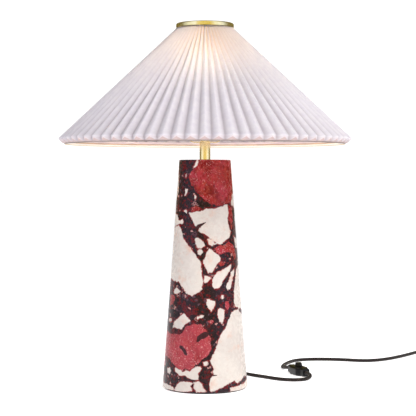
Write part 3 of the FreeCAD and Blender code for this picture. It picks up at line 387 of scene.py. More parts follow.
def crumbs(tree, size):
    """Irregular crumbs of about this size in mm: whether inside one, and its own number."""
    place = own_place(tree)
    bent = add(tree, "TexNoise", {"Vector": place, "Scale": 400.0 / size, "Detail": 3.0})
    inputs = {0: bent.outputs["Color"], "Scale": size * 0.0014}
    shift = add(tree, "VectorMath", inputs, operation="SCALE").outputs[0]
    inputs = {0: place, 1: shift}
    place = add(tree, "VectorMath", inputs, operation="ADD").outputs[0]
    inputs = {"Vector": place, "Scale": 1 / (size * MM)}
    near = add(tree, "TexVoronoi", inputs, feature="F1")
    edge = add(tree, "TexVoronoi", inputs, feature="DISTANCE_TO_EDGE")
    pick = add(tree, "SeparateColor", {"Color": near.outputs["Color"]}).outputs[0]
    wanted = band(tree, pick, 0.0, 1.0, 0.22, 0.06)
    return maths(tree, "GREATER_THAN", edge.outputs["Distance"], wanted), pick


def from_axis(tree):
    """Distance from the lamp's axis and height on a piece, both in metres."""
    x, y, height = apart(tree, own_place(tree))
    squares = maths(tree, "ADD", times(tree, x, x), times(tree, y, y))
    return maths(tree, "POWER", squares, 0.5), height


# Patches laid one over another: the noise's feature size in millimetres, detail,
# roughness and distortion, then where the patch comes in, its strength and its colour
RED_PATCHES = [
    (20.0, 6.0, 0.65, 0.3, 0.47, 0.62, 1.0, "#a8323d"),
    (6.0, 5.0, 0.75, 0.0, 0.52, 0.64, 0.5, "#b4472f"),
    (4.0, 5.0, 0.8, 0.0, 0.54, 0.66, 0.85, "#4a0c14"),
]
PEACH_CLOUDS = (22.0, 6.0, 0.62, 0.0, 0.52, 0.72, 0.6, "#dbab94")

# Crumbs in the ground: size in millimetres, then the share of crumbs where each of the
# colours after plum starts
CRUMB_SIZES = [(9.0, 0.74, 0.94, 0.98), (3.6, 0.66, 0.92, 0.97)]
CRUMB_COLOURS = ("#5d0f17", "#523a45", "#b98580")


def patch(tree, under, size, detail, rough, distortion, low, high, strength, colour):
    """A colour laid over another in patches of noise."""
    share = band(tree, noise(tree, size, detail, rough, distortion), low, high)
    return blend(tree, times(tree, share, strength), under, colour)


def ragged(tree, size, *shape):
    """Wander of an edge, up to half the noise's feature size to each side."""
    return times(tree, maths(tree, "SUBTRACT", noise(tree, size, *shape), 0.5), size)


def stone():
    """Polished breccia marble; the fragments' edges come from the mesh, noise frays them."""
    material, tree, shader, _ = surface("breccia_marble_polished", IOR=1.5, Specular_IOR_Level=0.22)
    wander = ragged(tree, 7.0, 5.0, 0.62)
    pale_gap = maths(tree, "ADD", carried(tree, "pale_gap"), wander)
    red_gap = maths(tree, "ADD", carried(tree, "red_gap"), ragged(tree, 9.0, 6.0, 0.66, 0.4))
    slit_gap = maths(tree, "ADD", carried(tree, "slit_gap"), times(tree, wander, 0.4))
    _, height = from_axis(tree)

    # ground: plum cement packed with small crumbs, plum, wine, mauve and pink
    ground = blend(tree, band(tree, noise(tree, 26.0, 7.0, 0.6, 0.5), 0.35, 0.68), "#1a0c12", "#301c25")
    for crumb_size, *starts in CRUMB_SIZES:
        inside, pick = crumbs(tree, crumb_size)
        kind = "#26131b"
        for start, colour in zip(starts, CRUMB_COLOURS):
            kind = blend(tree, band(tree, pick, start, start + 0.01), kind, colour)
        ground = blend(tree, inside, ground, kind)

    # red fragments: brick with orange clouds and dark grains, rosy low down, scratched high up
    red = blend(tree, band(tree, noise(tree, 30.0, 5.0, 0.6, 0.6), 0.4, 0.6), "#7c1519", "#982622")
    for row in RED_PATCHES:
        red = patch(tree, red, *row)
    rosy = times(tree, band(tree, height, 0.2, 0.06), noise(tree, 26.0, 4.0, 0.6))
    red = blend(tree, rosy, red, "#b84c58")
    scratch = band(tree, noise(tree, 5.0, 2.0, 0.5, 2.6), 0.6, 0.68)
    scratch = times(tree, scratch, band(tree, height, 0.3, 0.1, 0.45, 0.7))
    red = blend(tree, scratch, red, "#e0a8a6")

    # pale fragments: cream with peach clouds and faint fine veins
    pale = blend(tree, band(tree, noise(tree, 48.0, 5.0, 0.55), 0.38, 0.66), "#d6cdc6", "#dfd7cf")
    pale = patch(tree, pale, *PEACH_CLOUDS)
    vein = maths(tree, "ABSOLUTE", maths(tree, "SUBTRACT", noise(tree, 30.0, 7.0, 0.6, 0.9), 0.5))
    pale = blend(tree, times(tree, band(tree, vein, 0.006, 0.0), 0.35), pale, "#c98f83")

    colour = blend(tree, band(tree, red_gap, 0.6, -0.6), ground, red)
    stain = band(tree, maths(tree, "ABSOLUTE", pale_gap), 1.3, 0.2)
    stain = times(tree, stain, band(tree, noise(tree, 11.0, 3.0), 0.36, 0.56))
    colour = blend(tree, band(tree, pale_gap, 0.35, -0.35), colour, pale)
    colour = blend(tree, stain, colour, "#84161d")
    colour = blend(tree, band(tree, slit_gap, 0.5, -0.3), colour, "#3a1a22")
    pits = band(tree, noise(tree, 1.6, 3.0, 0.6), 0.72, 0.8)
    polish = band(tree, noise(tree, 6.0, 4.0), 0.3, 0.7, 0.2, 0.34)
    feed(tree, shader, Base_Color=colour, Roughness=polish, Normal=bump(tree, pits, -0.05, 0.5))
    return material


THREAD = 0.55


def pleated_sheet():
    """White woven cloth on film: painted crease shade greys the folds low down, and a painted golden glow
    fills them by the top ring.
    """
    material, tree, shader, output = surface("shade_cloth_pleated", Roughness=0.85, Sheen_Weight=0.12)
    across, down = own_mm(tree)
    warp = maths(tree, "SINE", times(tree, across, 2 * math.pi / THREAD))
    weft = maths(tree, "SINE", times(tree, down, 2 * math.pi / THREAD))
    weave = times(tree, warp, weft)
    tone = blend(tree, band(tree, noise(tree, 9.0, 4.0, 0.6), 0.3, 0.7), "#ece8f1", "#f5f2f7")
    tone = blend(tree, times(tree, band(tree, weave, -1.0, 1.0), 0.1), tone, "#d8d6e2")
    # painted shade: the turned-in facets under the ridge tips, and the rounding above them, are toned
    # pinkish grey where they face down away from the light
    tone = blend(tree, carried(tree, "painted_underside_shade"), tone, "#d3bcba")
    fold = carried(tree, "in_fold")
    _, height = from_axis(tree)
    # painted shade: the folds are darkened by their depth, most low on the shade, where shade falls in
    # the valleys
    painted_crease_shade = times(tree, maths(tree, "POWER", fold, 1.6), band(tree, height, 0.45, 0.55, 0.55, 0.05))
    normal = bump(tree, weave, 0.04, 0.35)
    feed(tree, shader, Base_Color=blend(tree, painted_crease_shade, tone, "#93868f"), Normal=normal)

    # painted glow: the through colour whitens and warms with height and turns gold in the folds by the
    # top ring, standing in for the bulb's light; the onward colour turns gold there too
    painted_ring_glow = times(tree, maths(tree, "POWER", fold, 2.4), band(tree, height, 0.5, 0.58))
    through_tone = blend(tree, band(tree, height, 0.41, 0.55), "#f0d9d6", "#fff8ea")
    through_tone = blend(tree, painted_ring_glow, through_tone, "#ffd690")
    through = add(tree, "BsdfTranslucent", {"Color": through_tone, "Normal": normal})
    share = band(tree, height, 0.41, 0.5, 0.14, 0.1)
    share = maths(tree, "ADD", share, band(tree, height, 0.53, 0.585, 0.0, 0.13))
    both = mix(tree, share, shader.outputs[0], through.outputs[0])
    onward_tone = blend(tree, painted_ring_glow, "#fffaf5", "#ffe2b0")
    onward = add(tree, "BsdfRefraction", {"Color": onward_tone, "Roughness": 0.95, "IOR": 1.35})
    spread = mix(tree, band(tree, height, 0.44, 0.57, 0.0, 0.36), both, onward.outputs[0])
    tree.links.new(spread, output.inputs["Surface"])
    return material


def lining_strip():
    """Thin lining tape: pinkish outside and above, tan on the inside's lower half, a painted warm cast
    where the bulb lights it.
    """
    material, tree, shader, output = surface("hem_lining", Roughness=0.9)
    distance, height = from_axis(tree)
    outside = band(tree, distance, (HEM_RADIUS - 0.4) * MM, (HEM_RADIUS - 0.2) * MM)
    upper = band(tree, height, (HEM_Z + 4.2) * MM, (HEM_Z + 5.0) * MM)
    # painted light: the tan on the inside's lower half stands in for the bulb's warm light on the tape
    tone = blend(tree, noise(tree, 12.0), "#c29c6c", "#cfac7c")
    feed(tree, shader, Base_Color=blend(tree, maths(tree, "MAXIMUM", outside, upper), tone, "#f0e4ea"))
    through = add(tree, "BsdfTranslucent", {"Color": linear("#ecd9d4")})
    both = mix(tree, 0.3, shader.outputs[0], through.outputs[0])
    tree.links.new(both, output.inputs["Surface"])
    return material


def edge_binding():
    """Narrow woven binding: taupe on the outside, a painted shadow line along the hem's lower edge; cream
    on the inside, painted warm light from the bulb.
    """
    material, tree, shader, _ = surface("hem_binding_painted_shadow_line", Roughness=0.9)
    distance, _ = from_axis(tree)
    outside = band(tree, distance, (HEM_RADIUS - 0.5) * MM, (HEM_RADIUS - 0.1) * MM)
    # painted shadow line on the outside, painted warm light on the inside
    tone = blend(tree, outside, "#e4d2b0", "#a39892")
    fibres = noise(tree, 1.4, 5.0, 0.7)
    feed(tree, shader, Base_Color=blend(tree, times(tree, fibres, 0.2), tone, "#6d645e"))
    return material


def metal(name, colour, worn, roughness, brushing=0.0):
    """Metal with a finish: fine turning marks, a hand-worn lustre and small stains."""
    material, tree, shader, _ = surface(name, Metallic=1.0)
    stain = noise(tree, 14.0, 5.0, 0.6)
    tone = blend(tree, band(tree, stain, 0.35, 0.7), colour, worn)
    stretched = add(tree, "Mapping", {"Vector": own_place(tree), "Scale": (1.0, 1.0, 14.0)})
    marks = noise(tree, 9.0, 6.0, 0.7, 0.0, stretched.outputs[0])
    feed(
        tree, shader,
        Base_Color=tone,
        Roughness=band(tree, marks, 0.3, 0.7, roughness * 0.75, roughness * 1.3),
        Normal=bump(tree, marks, 0.01, 0.05 + brushing),
    )
    return material


def moulded(name, colour, second, roughness, grain=0.9):
    """Moulded plastic or rubber: a fine spark-eroded grain and slight flow marks."""
    material, tree, shader, _ = surface(name, IOR=1.47, Specular_IOR_Level=0.28)
    flow = noise(tree, 18.0, 4.0, 0.6, 0.5)
    fine = noise(tree, grain, 2.0, 0.5)
    feed(
        tree, shader,
        Base_Color=blend(tree, band(tree, flow, 0.3, 0.7), colour, second),
        Roughness=band(tree, fine, 0.3, 0.7, roughness * 0.85, roughness * 1.15),
        Normal=bump(tree, fine, 0.03, 0.5),
    )
    return material


YARNS = 12


def braid():
    """Braided textile jacket: crossing yarns in two browns, with a lighter tracer yarn."""
    material, tree, shader, _ = surface("cord_braid_dark_brown", Roughness=0.8, Sheen_Weight=0.08)
    across, along_it = own_mm(tree)
    yarns_a_mm = YARNS / (2 * math.pi * CORD_RADIUS)
    round_it = times(tree, across, yarns_a_mm)
    length = times(tree, along_it, yarns_a_mm)
    left = maths(tree, "ADD", round_it, length)
    right = maths(tree, "SUBTRACT", length, round_it)
    left_yarn = maths(tree, "SINE", times(tree, left, 2 * math.pi))
    right_yarn = maths(tree, "SINE", times(tree, right, 2 * math.pi))
    height = times(tree, left_yarn, right_yarn)
    tracer = maths(tree, "SINE", times(tree, left, 2 * math.pi / 3))
    tone = blend(tree, band(tree, height, -0.6, 0.6), "#0f0909", "#231716")
    tone = blend(tree, times(tree, band(tree, tracer, 0.75, 0.95), 0.2), tone, "#40302b")
    fluff = noise(tree, 0.7, 3.0, 0.7)
    feed(
        tree, shader,
        Base_Color=blend(tree, times(tree, fluff, 0.12), tone, "#33251f"),
        Normal=bump(tree, maths(tree, "ADD", height, fluff), 0.12, 0.8),
    )
    return material


def felt(name, colour, second):
    """Pressed wool felt: matted fibres in two tones."""
    material, tree, shader, _ = surface(name, Roughness=0.95, Sheen_Weight=0.3)
    fibres = noise(tree, 1.4, 6.0, 0.75, 1.5)
    feed(
        tree, shader,
        Base_Color=blend(tree, band(tree, fibres, 0.35, 0.7), colour, second),
        Normal=bump(tree, fibres, 0.25, 0.8),
    )
    return material


def lit_glass():
    """Frosted bulb glass with the lamp on: warm and evenly bright."""
    material, tree, shader, _ = surface("bulb_glass_frosted_lit", Roughness=0.35, IOR=1.45)
    frost = noise(tree, 2.0, 3.0, 0.5)
    feed(
        tree, shader,
        Base_Color=blend(tree, frost, "#fff1dc", "#ffe3bd"),
        Emission_Color=blend(tree, frost, "#fff0d2", "#fff3da"),
        Normal=bump(tree, frost, 0.02, 0.3),
    )
    shader.inputs["Emission Strength"].default_value = BULB_GLOW
    return material


def board(name, colour, second):
    """Waxed insulating board: short paper fibres."""
    material, tree, shader, _ = surface(name, Roughness=0.7)
    fibre = noise(tree, 3.0, 6.0, 0.7, 1.0)
    feed(tree, shader, Base_Color=blend(tree, fibre, colour, second), Normal=bump(tree, fibre, 0.05, 0.4))
    return material


BULB_GLOW = 22.0

lining = lining_strip()
taupe = edge_binding()
ring_brass = metal("brass_satin_ring", "#e8d9a4", "#f0e4b8", 0.24)
bright = metal("nickel_bright", "#d6d8da", "#eceded", 0.12)

MATERIALS = {
    "felt": felt("felt_black_pressed", "#17161a", "#2c2a2f"),
    "marble": stone(),
    "steel": metal("steel_zinc_plated", "#9fa3a6", "#c2c4c4", 0.32, 0.1),
    "brass": metal("brass_polished_lacquered", "#f2dea8", "#f6e5b6", 0.14),
    "liner_paper": board("liner_waxed_board", "#b08d5a", "#c9a874"),
    "moulded_insulator": moulded("resin_moulded_insulator", "#1b1614", "#2a221f", 0.35),
    "bulb_metal": metal("bulb_base_rolled", "#c3c0b6", "#d9d6cc", 0.3, 0.1),
    "bulb_glass": lit_glass(),
    "shade_sheet": pleated_sheet(),
    "hem_tape": felt("hem_tape_cotton", "#f1e6da", "#f8f0e6"),
    "black_plastic": moulded("plastic_black_satin", "#0f0e11", "#161418", 0.34),
    "lead_sleeve": moulded("rubber_lead_sleeve", "#1f1a19", "#292322", 0.55, 1.2),
    "cord_jacket": braid(),
}


def dress_nodes():
    """Every CAD node's slots take the made material of the same name."""
    for node in nodes.values():
        for place in node.material_slots:
            name = place.material.name.split(".")[0]
            place.material = MATERIALS[name]


dress_nodes()
nodes["top_ring"].material_slots[0].material = ring_brass
nodes["plug_blades"].material_slots[0].material = bright


def paint(piece, material):
    piece.data.materials.clear()
    piece.data.materials.append(material)


paint(cord_near, MATERIALS["cord_jacket"])
paint(cord_far, MATERIALS["cord_jacket"])


# Marble column: the part's own cone, with each point's distance to the fragments

PAD_THICKNESS = 2.0
COLUMN_TOP = 376.0
FOOT_RADIUS = 70.2
HEAD_RADIUS = 42.2
FOOT_EASE = 2.4
HEAD_EASE = 1.6
BORE_RADIUS = 6.0
RECESS_RADIUS = 32.0
RECESS_TOP = 44.0
FAR = 30.0

# Fragments on the front by kind, as (across, up) points in millimetres from the front
FRONT = {
    "pale": [
        [(-14, 377), (-10, 377), (-11, 369), (-15, 362), (-19, 362)],
        [(-26, 290), (-16, 292), (-4, 294), (2, 298), (13, 297), (29, 301), (37, 304), (38, 289),
         (37, 280), (42, 259), (40, 251), (29, 241), (26, 237), (19, 240), (2, 254), (-12, 260),
         (-7, 268), (-15, 268), (-22, 280)],
        [(-16, 249), (-11, 251), (-3, 244), (0, 237), (-5, 233), (-14, 234)],
        [(4, 248), (11, 248), (18, 240), (12, 236), (5, 238)],
        [(7, 234), (19, 225), (26, 217), (25, 212), (19, 206), (12, 194), (5, 193), (-1, 205),
         (-3, 213), (2, 225)],
        [(-50, 286), (-45, 286), (-43, 278), (-36, 279), (-34, 274), (-37, 270), (-40, 272), (-50, 264)],
        [(-53, 262), (-42, 270), (-38, 264), (-36, 253), (-31, 243), (-22, 233), (-11, 218), (-6, 210),
         (-5, 196), (-3, 182), (-4, 167), (-11, 162), (-21, 156), (-27, 158), (-35, 166), (-41, 176),
         (-58, 182)],
        [(46, 318), (49, 305), (48, 298), (43, 301), (41, 305), (44, 313)],
        [(21, 197), (26, 197), (35, 202), (44, 208), (42, 200), (36, 189), (31, 182), (26, 173),
         (21, 167), (15, 168), (11, 175), (12, 184), (17, 192)],
        [(48, 200), (47, 188), (44, 177), (41, 167), (36, 166), (34, 172), (39, 183), (43, 194)],
        [(51, 200), (58, 198), (62, 167), (63, 145), (62, 129), (56, 133), (49, 137), (47, 144),
         (47, 158), (49, 181)],
        [(43, 129), (48, 132), (54, 133), (57, 126), (60, 116), (61, 95), (65, 79), (67, 61), (68, 37),
         (64, 25), (60, 18), (53, 13), (47, 19), (38, 15), (25, 9), (18, 5), (9, 3), (7, 8), (7, 18),
         (9, 26), (14, 32), (13, 40), (9, 54), (13, 63), (19, 78), (24, 93), (31, 103), (37, 115)],
        [(3, 152), (11, 150), (17, 149), (17, 143), (15, 136), (11, 130), (6, 135), (2, 146)],
        [(21, 137), (26, 137), (32, 133), (32, 123), (28, 111), (23, 115), (19, 129)],
        [(-35, 128), (-31, 127), (-27, 121), (-23, 116), (-33, 109), (-37, 102), (-52, 103), (-50, 113),
         (-44, 120)],
        [(-13, 123), (-7, 126), (-1, 126), (-3, 122), (-12, 119)],
        [(-1, 190), (5, 189), (11, 187), (9, 183), (5, 179), (-1, 177), (-2, 183)],
        [(-46, 169), (-43, 167), (-39, 163), (-43, 159), (-50, 157), (-52, 160)],
        [(26, 158), (30, 157), (30, 152), (27, 152)],
        [(-48, 41), (-41, 38), (-36, 35), (-31, 39), (-24, 37), (-14, 45), (-6, 44), (-6, 39),
         (-11, 33), (-10, 23), (-19, 23), (-28, 25), (-32, 28), (-40, 27), (-49, 35)],
        [(-45, 14), (-39, 19), (-25, 20), (-19, 18), (-23, 13), (-19, 5), (-34, 2), (-48, 2), (-49, 7)],
        [(-17, 19), (-10, 21), (-3, 16), (-2, 11), (3, 5), (-4, 3), (-14, 3), (-19, 10)],
        [(-69, 12), (-60, 11), (-52, 8), (-49, 4), (-56, 2), (-70, 3)],
        [(-62, 37), (-58, 39), (-55, 34), (-58, 27), (-61, 29)],
        [(-4, 52), (4, 53), (5, 48), (2, 44), (-2, 47)],
        [(40, 8), (49, 10), (57, 10), (63, 13), (69, 17), (70, 3), (57, 1), (41, 2)],
        [(-59, 117), (-54, 118), (-54, 112), (-59, 111)],
        [(-32, 354), (-29, 353), (-30, 345), (-32, 346)],
        [(-32, 330), (-28, 328), (-30, 318), (-33, 317)],
        [(-16, 319), (-14, 317), (-15, 312), (-17, 313)],
        [(-36, 293), (-29, 296), (-27, 293), (-30, 289)],
        [(-13, 230), (-5, 232), (-2, 227), (-7, 222), (-11, 223)],
    ],
    "red": [
        [(-9, 377), (-12, 367), (-22, 358), (-26, 350), (-24, 337), (-16, 328), (-10, 319), (-2, 311),
         (10, 304), (19, 302), (29, 303), (39, 306), (45, 315), (43, 346), (42, 377)],
        [(38, 243), (44, 239), (49, 230), (51, 218), (48, 213), (44, 224), (35, 227), (26, 223),
         (19, 226), (15, 233), (22, 237), (32, 238)],
        [(38, 304), (43, 298), (45, 287), (45, 268), (43, 262), (41, 272), (37, 280), (38, 289)],
        [(-22, 299), (-12, 302), (-7, 297), (-12, 293), (-22, 291)],
        [(-62, 93), (-41, 93), (-35, 98), (-33, 105), (-27, 109), (-17, 112), (-6, 111), (3, 101),
         (9, 91), (9, 82), (11, 73), (6, 63), (-2, 58), (-9, 51), (-15, 46), (-24, 38), (-31, 40),
         (-36, 36), (-45, 40), (-57, 52), (-66, 60)],
        [(-56, 156), (-50, 155), (-48, 150), (-51, 142), (-57, 138)],
        [(32, 148), (38, 148), (40, 141), (37, 134), (32, 137)],
        [(21, 209), (26, 212), (34, 210), (30, 206), (25, 203)],
        [(3, 116), (12, 120), (15, 115), (11, 112)],
    ],
    "slit": [
        [(-16, 265), (-12, 271), (3, 276), (-5, 269), (-12, 264)],
        [(-14, 84), (-12, 92), (-6, 97), (1, 100), (6, 98), (5, 93), (-1, 89), (-6, 88), (-10, 83)],
        [(-41, 77), (-36, 76), (-31, 70), (-28, 61), (-33, 62), (-36, 68), (-41, 72)],
        [(-42, 18), (-35, 22), (-21, 23), (-13, 22), (-21, 21), (-35, 20)],
        [(12, 31), (18, 31), (24, 29), (18, 29), (12, 29)],
    ],
}

# Fragments round the sides, as degrees round from the front, then (arc, up) points.
# They carry on the ones that the front's outline cuts off.
SIDES = [
    ("pale", 88, [(-22, 128), (-4, 122), (12, 108), (23, 84), (19, 60), (26, 38), (12, 22), (-22, 20)]),
    ("pale", 86, [(-16, 201), (2, 206), (13, 188), (7, 170), (12, 151), (-2, 139), (-16, 132)]),
    ("pale", 84, [(-12, 318), (2, 322), (9, 309), (4, 296), (-12, 300)]),
    ("red", 84, [(-16, 377), (6, 377), (14, 358), (5, 338), (9, 322), (-4, 309), (-16, 306)]),
    ("pale", -88, [(16, 262), (-3, 271), (-17, 252), (-12, 226), (-24, 207), (-6, 186), (16, 182)]),
    ("red", -86, [(18, 94), (0, 99), (-15, 86), (-20, 68), (-5, 52), (18, 56)]),
    ("pale", -86, [(12, 287), (-4, 291), (-8, 276), (12, 266)]),
    ("pale", -84, [(12, 12), (-10, 16), (-16, 3), (12, 2)]),
]
KINDS = ("pale", "red", "slit")


def column_radius(z):
    slope = (FOOT_RADIUS - HEAD_RADIUS) / (COLUMN_TOP - PAD_THICKNESS)
    return FOOT_RADIUS - slope * (z - PAD_THICKNESS)


def column_profile():
    """Rows of (radius, z), up the outside, then down the bore and out of the recess."""
    steps = np.linspace(0, math.pi / 2, 5)
    foot_z = PAD_THICKNESS + FOOT_EASE * (1 - np.cos(steps))
    foot_r = column_radius(PAD_THICKNESS + FOOT_EASE) - FOOT_EASE * (1 - np.sin(steps))
    head_z = COLUMN_TOP - HEAD_EASE * (1 - np.sin(steps))
    head_r = column_radius(COLUMN_TOP - HEAD_EASE) - HEAD_EASE * (1 - np.cos(steps))
    side_z = np.linspace(PAD_THICKNESS + FOOT_EASE, COLUMN_TOP - HEAD_EASE, 232)[1:-1]
    outside = np.concatenate([
        np.stack([foot_r, foot_z], axis=-1),
        np.stack([column_radius(side_z), side_z], axis=-1),
        np.stack([head_r, head_z], axis=-1),
    ])
    inside = np.array([
        (26.0, COLUMN_TOP), (BORE_RADIUS, COLUMN_TOP), (BORE_RADIUS, RECESS_TOP),
        (RECESS_RADIUS, RECESS_TOP), (RECESS_RADIUS, PAD_THICKNESS), (50.0, PAD_THICKNESS),
    ])
    return np.concatenate([outside, inside])


def outline_gap(across, up, outline):
    """Signed distance from points to a closed outline, below zero inside it."""
    start = np.asarray(outline, dtype=float)
    end = np.roll(start, -1, axis=0)
    nearest = np.full(across.shape, 1e9)
    crossings = np.zeros(across.shape, dtype=int)
    for (x0, y0), (x1, y1) in zip(start, end):
        dx = x1 - x0
        dy = y1 - y0
        share = np.clip(((across - x0) * dx + (up - y0) * dy) / (dx * dx + dy * dy), 0, 1)
        nearest = np.minimum(nearest, np.hypot(across - x0 - share * dx, up - y0 - share * dy))
        if y0 != y1:
            passes = (up > min(y0, y1)) & (up <= max(y0, y1))
            crossings += passes & (across < x0 + (up - y0) * dx / dy)
    return np.where(crossings % 2 == 1, -nearest, nearest)


class Fragments:
    """Each point's least distance to the fragments of each kind, round the column."""

    def __init__(self, angle, up):
        self.angle = angle
        self.up = up
        self.radius = column_radius(up)
        self.gaps = {kind: np.full(angle.shape, FAR) for kind in KINDS}

    def lay(self, kind, middle, outline):
        """An outline in (arc, up) millimetres about the angle where its middle stands."""
        turn = (self.angle - middle + math.pi) % (2 * math.pi) - math.pi
        across = turn * self.radius
        points = np.asarray(outline, dtype=float)
        low = points.min(axis=0) - FAR
        high = points.max(axis=0) + FAR
        near = (across > low[0]) & (across < high[0]) & (self.up > low[1]) & (self.up < high[1])
        gap = outline_gap(across[near], self.up[near], points)
        self.gaps[kind][near] = np.minimum(self.gaps[kind][near], gap)

    def clear(self, middle, up):
        """Distance from one place to whatever lies nearest."""
        turn = (self.angle - middle + math.pi) % (2 * math.pi) - math.pi
        at = np.argmin(np.hypot(turn * self.radius, self.up - up))
        return min(self.gaps["pale"][at], self.gaps["red"][at])


def unrolled(outline):
    """Points seen from the front, as arc and height on the cone, and their middle angle."""
    across = np.array([point[0] for point in outline], dtype=float)
    up = np.array([point[1] for point in outline], dtype=float)
    radius = column_radius(up)
    angle = np.arcsin(np.clip(across / radius, -0.999, 0.999))
    middle = (angle.min() + angle.max()) / 2
    return middle, np.stack([(angle - middle) * radius, up], axis=-1)


def scattered(draw, size):
    """A broken fragment: corners at uneven angles and reaches on a stretched, turned ring."""
    corners = draw.integers(4, 8)
    even = np.linspace(0, 2 * math.pi, corners, endpoint=False)
    angle = np.sort(even + draw.uniform(-0.4, 0.4, corners))
    reach = size * draw.uniform(0.5, 1.25, corners)
    stretch = draw.uniform(1.0, 2.4)
    x = reach * np.cos(angle) / math.sqrt(stretch)
    y = reach * np.sin(angle) * math.sqrt(stretch)
    lean = draw.uniform(-0.9, 0.9)
    turned_x = x * math.cos(lean) - y * math.sin(lean)
    turned_y = x * math.sin(lean) + y * math.cos(lean)
    return np.stack([turned_x, turned_y], axis=-1)


FRONT_ANGLE = -math.pi / 2
SCATTER_SIZES = [(66, 14), (48, 40), (30, 70), (19, 120), (11, 160), (6, 160), (3.5, 120)]
SCATTER_GAP = 1.0
SCATTER_SHARE = 0.66
RED_SHARE = 0.27


def marble_column():
    """A cone of the part's sizes, its points carrying the distances to the fragments.

    Behind the listed ones, more are scattered from large to small where they fit.
    """
    profile = column_profile()
    segments = 248
    piece = lathe("marble_column_figured", profile, segments)
    angle = np.linspace(0, 2 * math.pi, segments, endpoint=False)
    turn, up = np.meshgrid(angle, profile[:, 1])
    fragments = Fragments(turn.ravel(), up.ravel())
    for kind, outlines in FRONT.items():
        for outline in outlines:
            middle, rolled_out = unrolled(outline)
            fragments.lay(kind, FRONT_ANGLE + middle, rolled_out)
    for kind, degrees, outline in SIDES:
        fragments.lay(kind, FRONT_ANGLE + math.radians(degrees), outline)
    draw = np.random.default_rng(11)
    for size, tries in SCATTER_SIZES:
        for _ in range(tries):
            middle = FRONT_ANGLE + draw.uniform(1.25, 2 * math.pi - 1.25)
            height = draw.uniform(PAD_THICKNESS, COLUMN_TOP)
            shape = scattered(draw, size)
            kind = "red" if draw.random() < RED_SHARE else "pale"
            reach = np.hypot(shape[:, 0], shape[:, 1]).max()
            if fragments.clear(middle, height) > reach * SCATTER_SHARE + SCATTER_GAP:
                fragments.lay(kind, middle, shape + [0, height])
    for kind, gap in fragments.gaps.items():
        layer = piece.data.attributes.new(kind + "_gap", "FLOAT", "POINT")
        layer.data.foreach_set("value", gap.astype(np.float32))
    return piece


column = marble_column()
paint(column, MATERIALS["marble"])
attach(column, "lamp")
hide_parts("marble_column")


# Foot pad: felt disc with a rounded rim

PAD_RADIUS = 67.0


def foot_pad():
    """Disc whose rim is rounded, with a bare middle."""
    steps = np.linspace(-math.pi / 2, math.pi / 2, 7)
    half = PAD_THICKNESS / 2
    rim = np.stack([PAD_RADIUS - half + half * np.cos(steps), half + half * np.sin(steps)], axis=-1)
    inner_low = np.array([(0.0, 0.0), (20.0, 0.0), (45.0, 0.0)])
    inner_high = np.array([(45.0, PAD_THICKNESS), (20.0, PAD_THICKNESS), (0.0, PAD_THICKNESS)])
    return lathe("foot_pad_felt", np.concatenate([inner_low, rim, inner_high]), 180, closed=False)


pad = foot_pad()
paint(pad, MATERIALS["felt"])
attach(pad, "lamp")
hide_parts("foot_pad")


# Shade: pleats with soft ridges and sharp valleys, turned in under their tips

ACROSS_A_PLEAT = np.array([0.0, 0.07, 0.16, 0.25, 0.34, 0.43, 0.5, 0.57, 0.66, 0.75, 0.84, 0.93])
STRAIGHT_PART = 0.55
COSINE_PART = 0.45
WANDER = 0.05


def rounded(step, first, middle, last):
    """Curve that leaves one value towards a middle one and ends at the last."""
    return (1 - step) ** 2 * first + 2 * step * (1 - step) * middle + step ** 2 * last


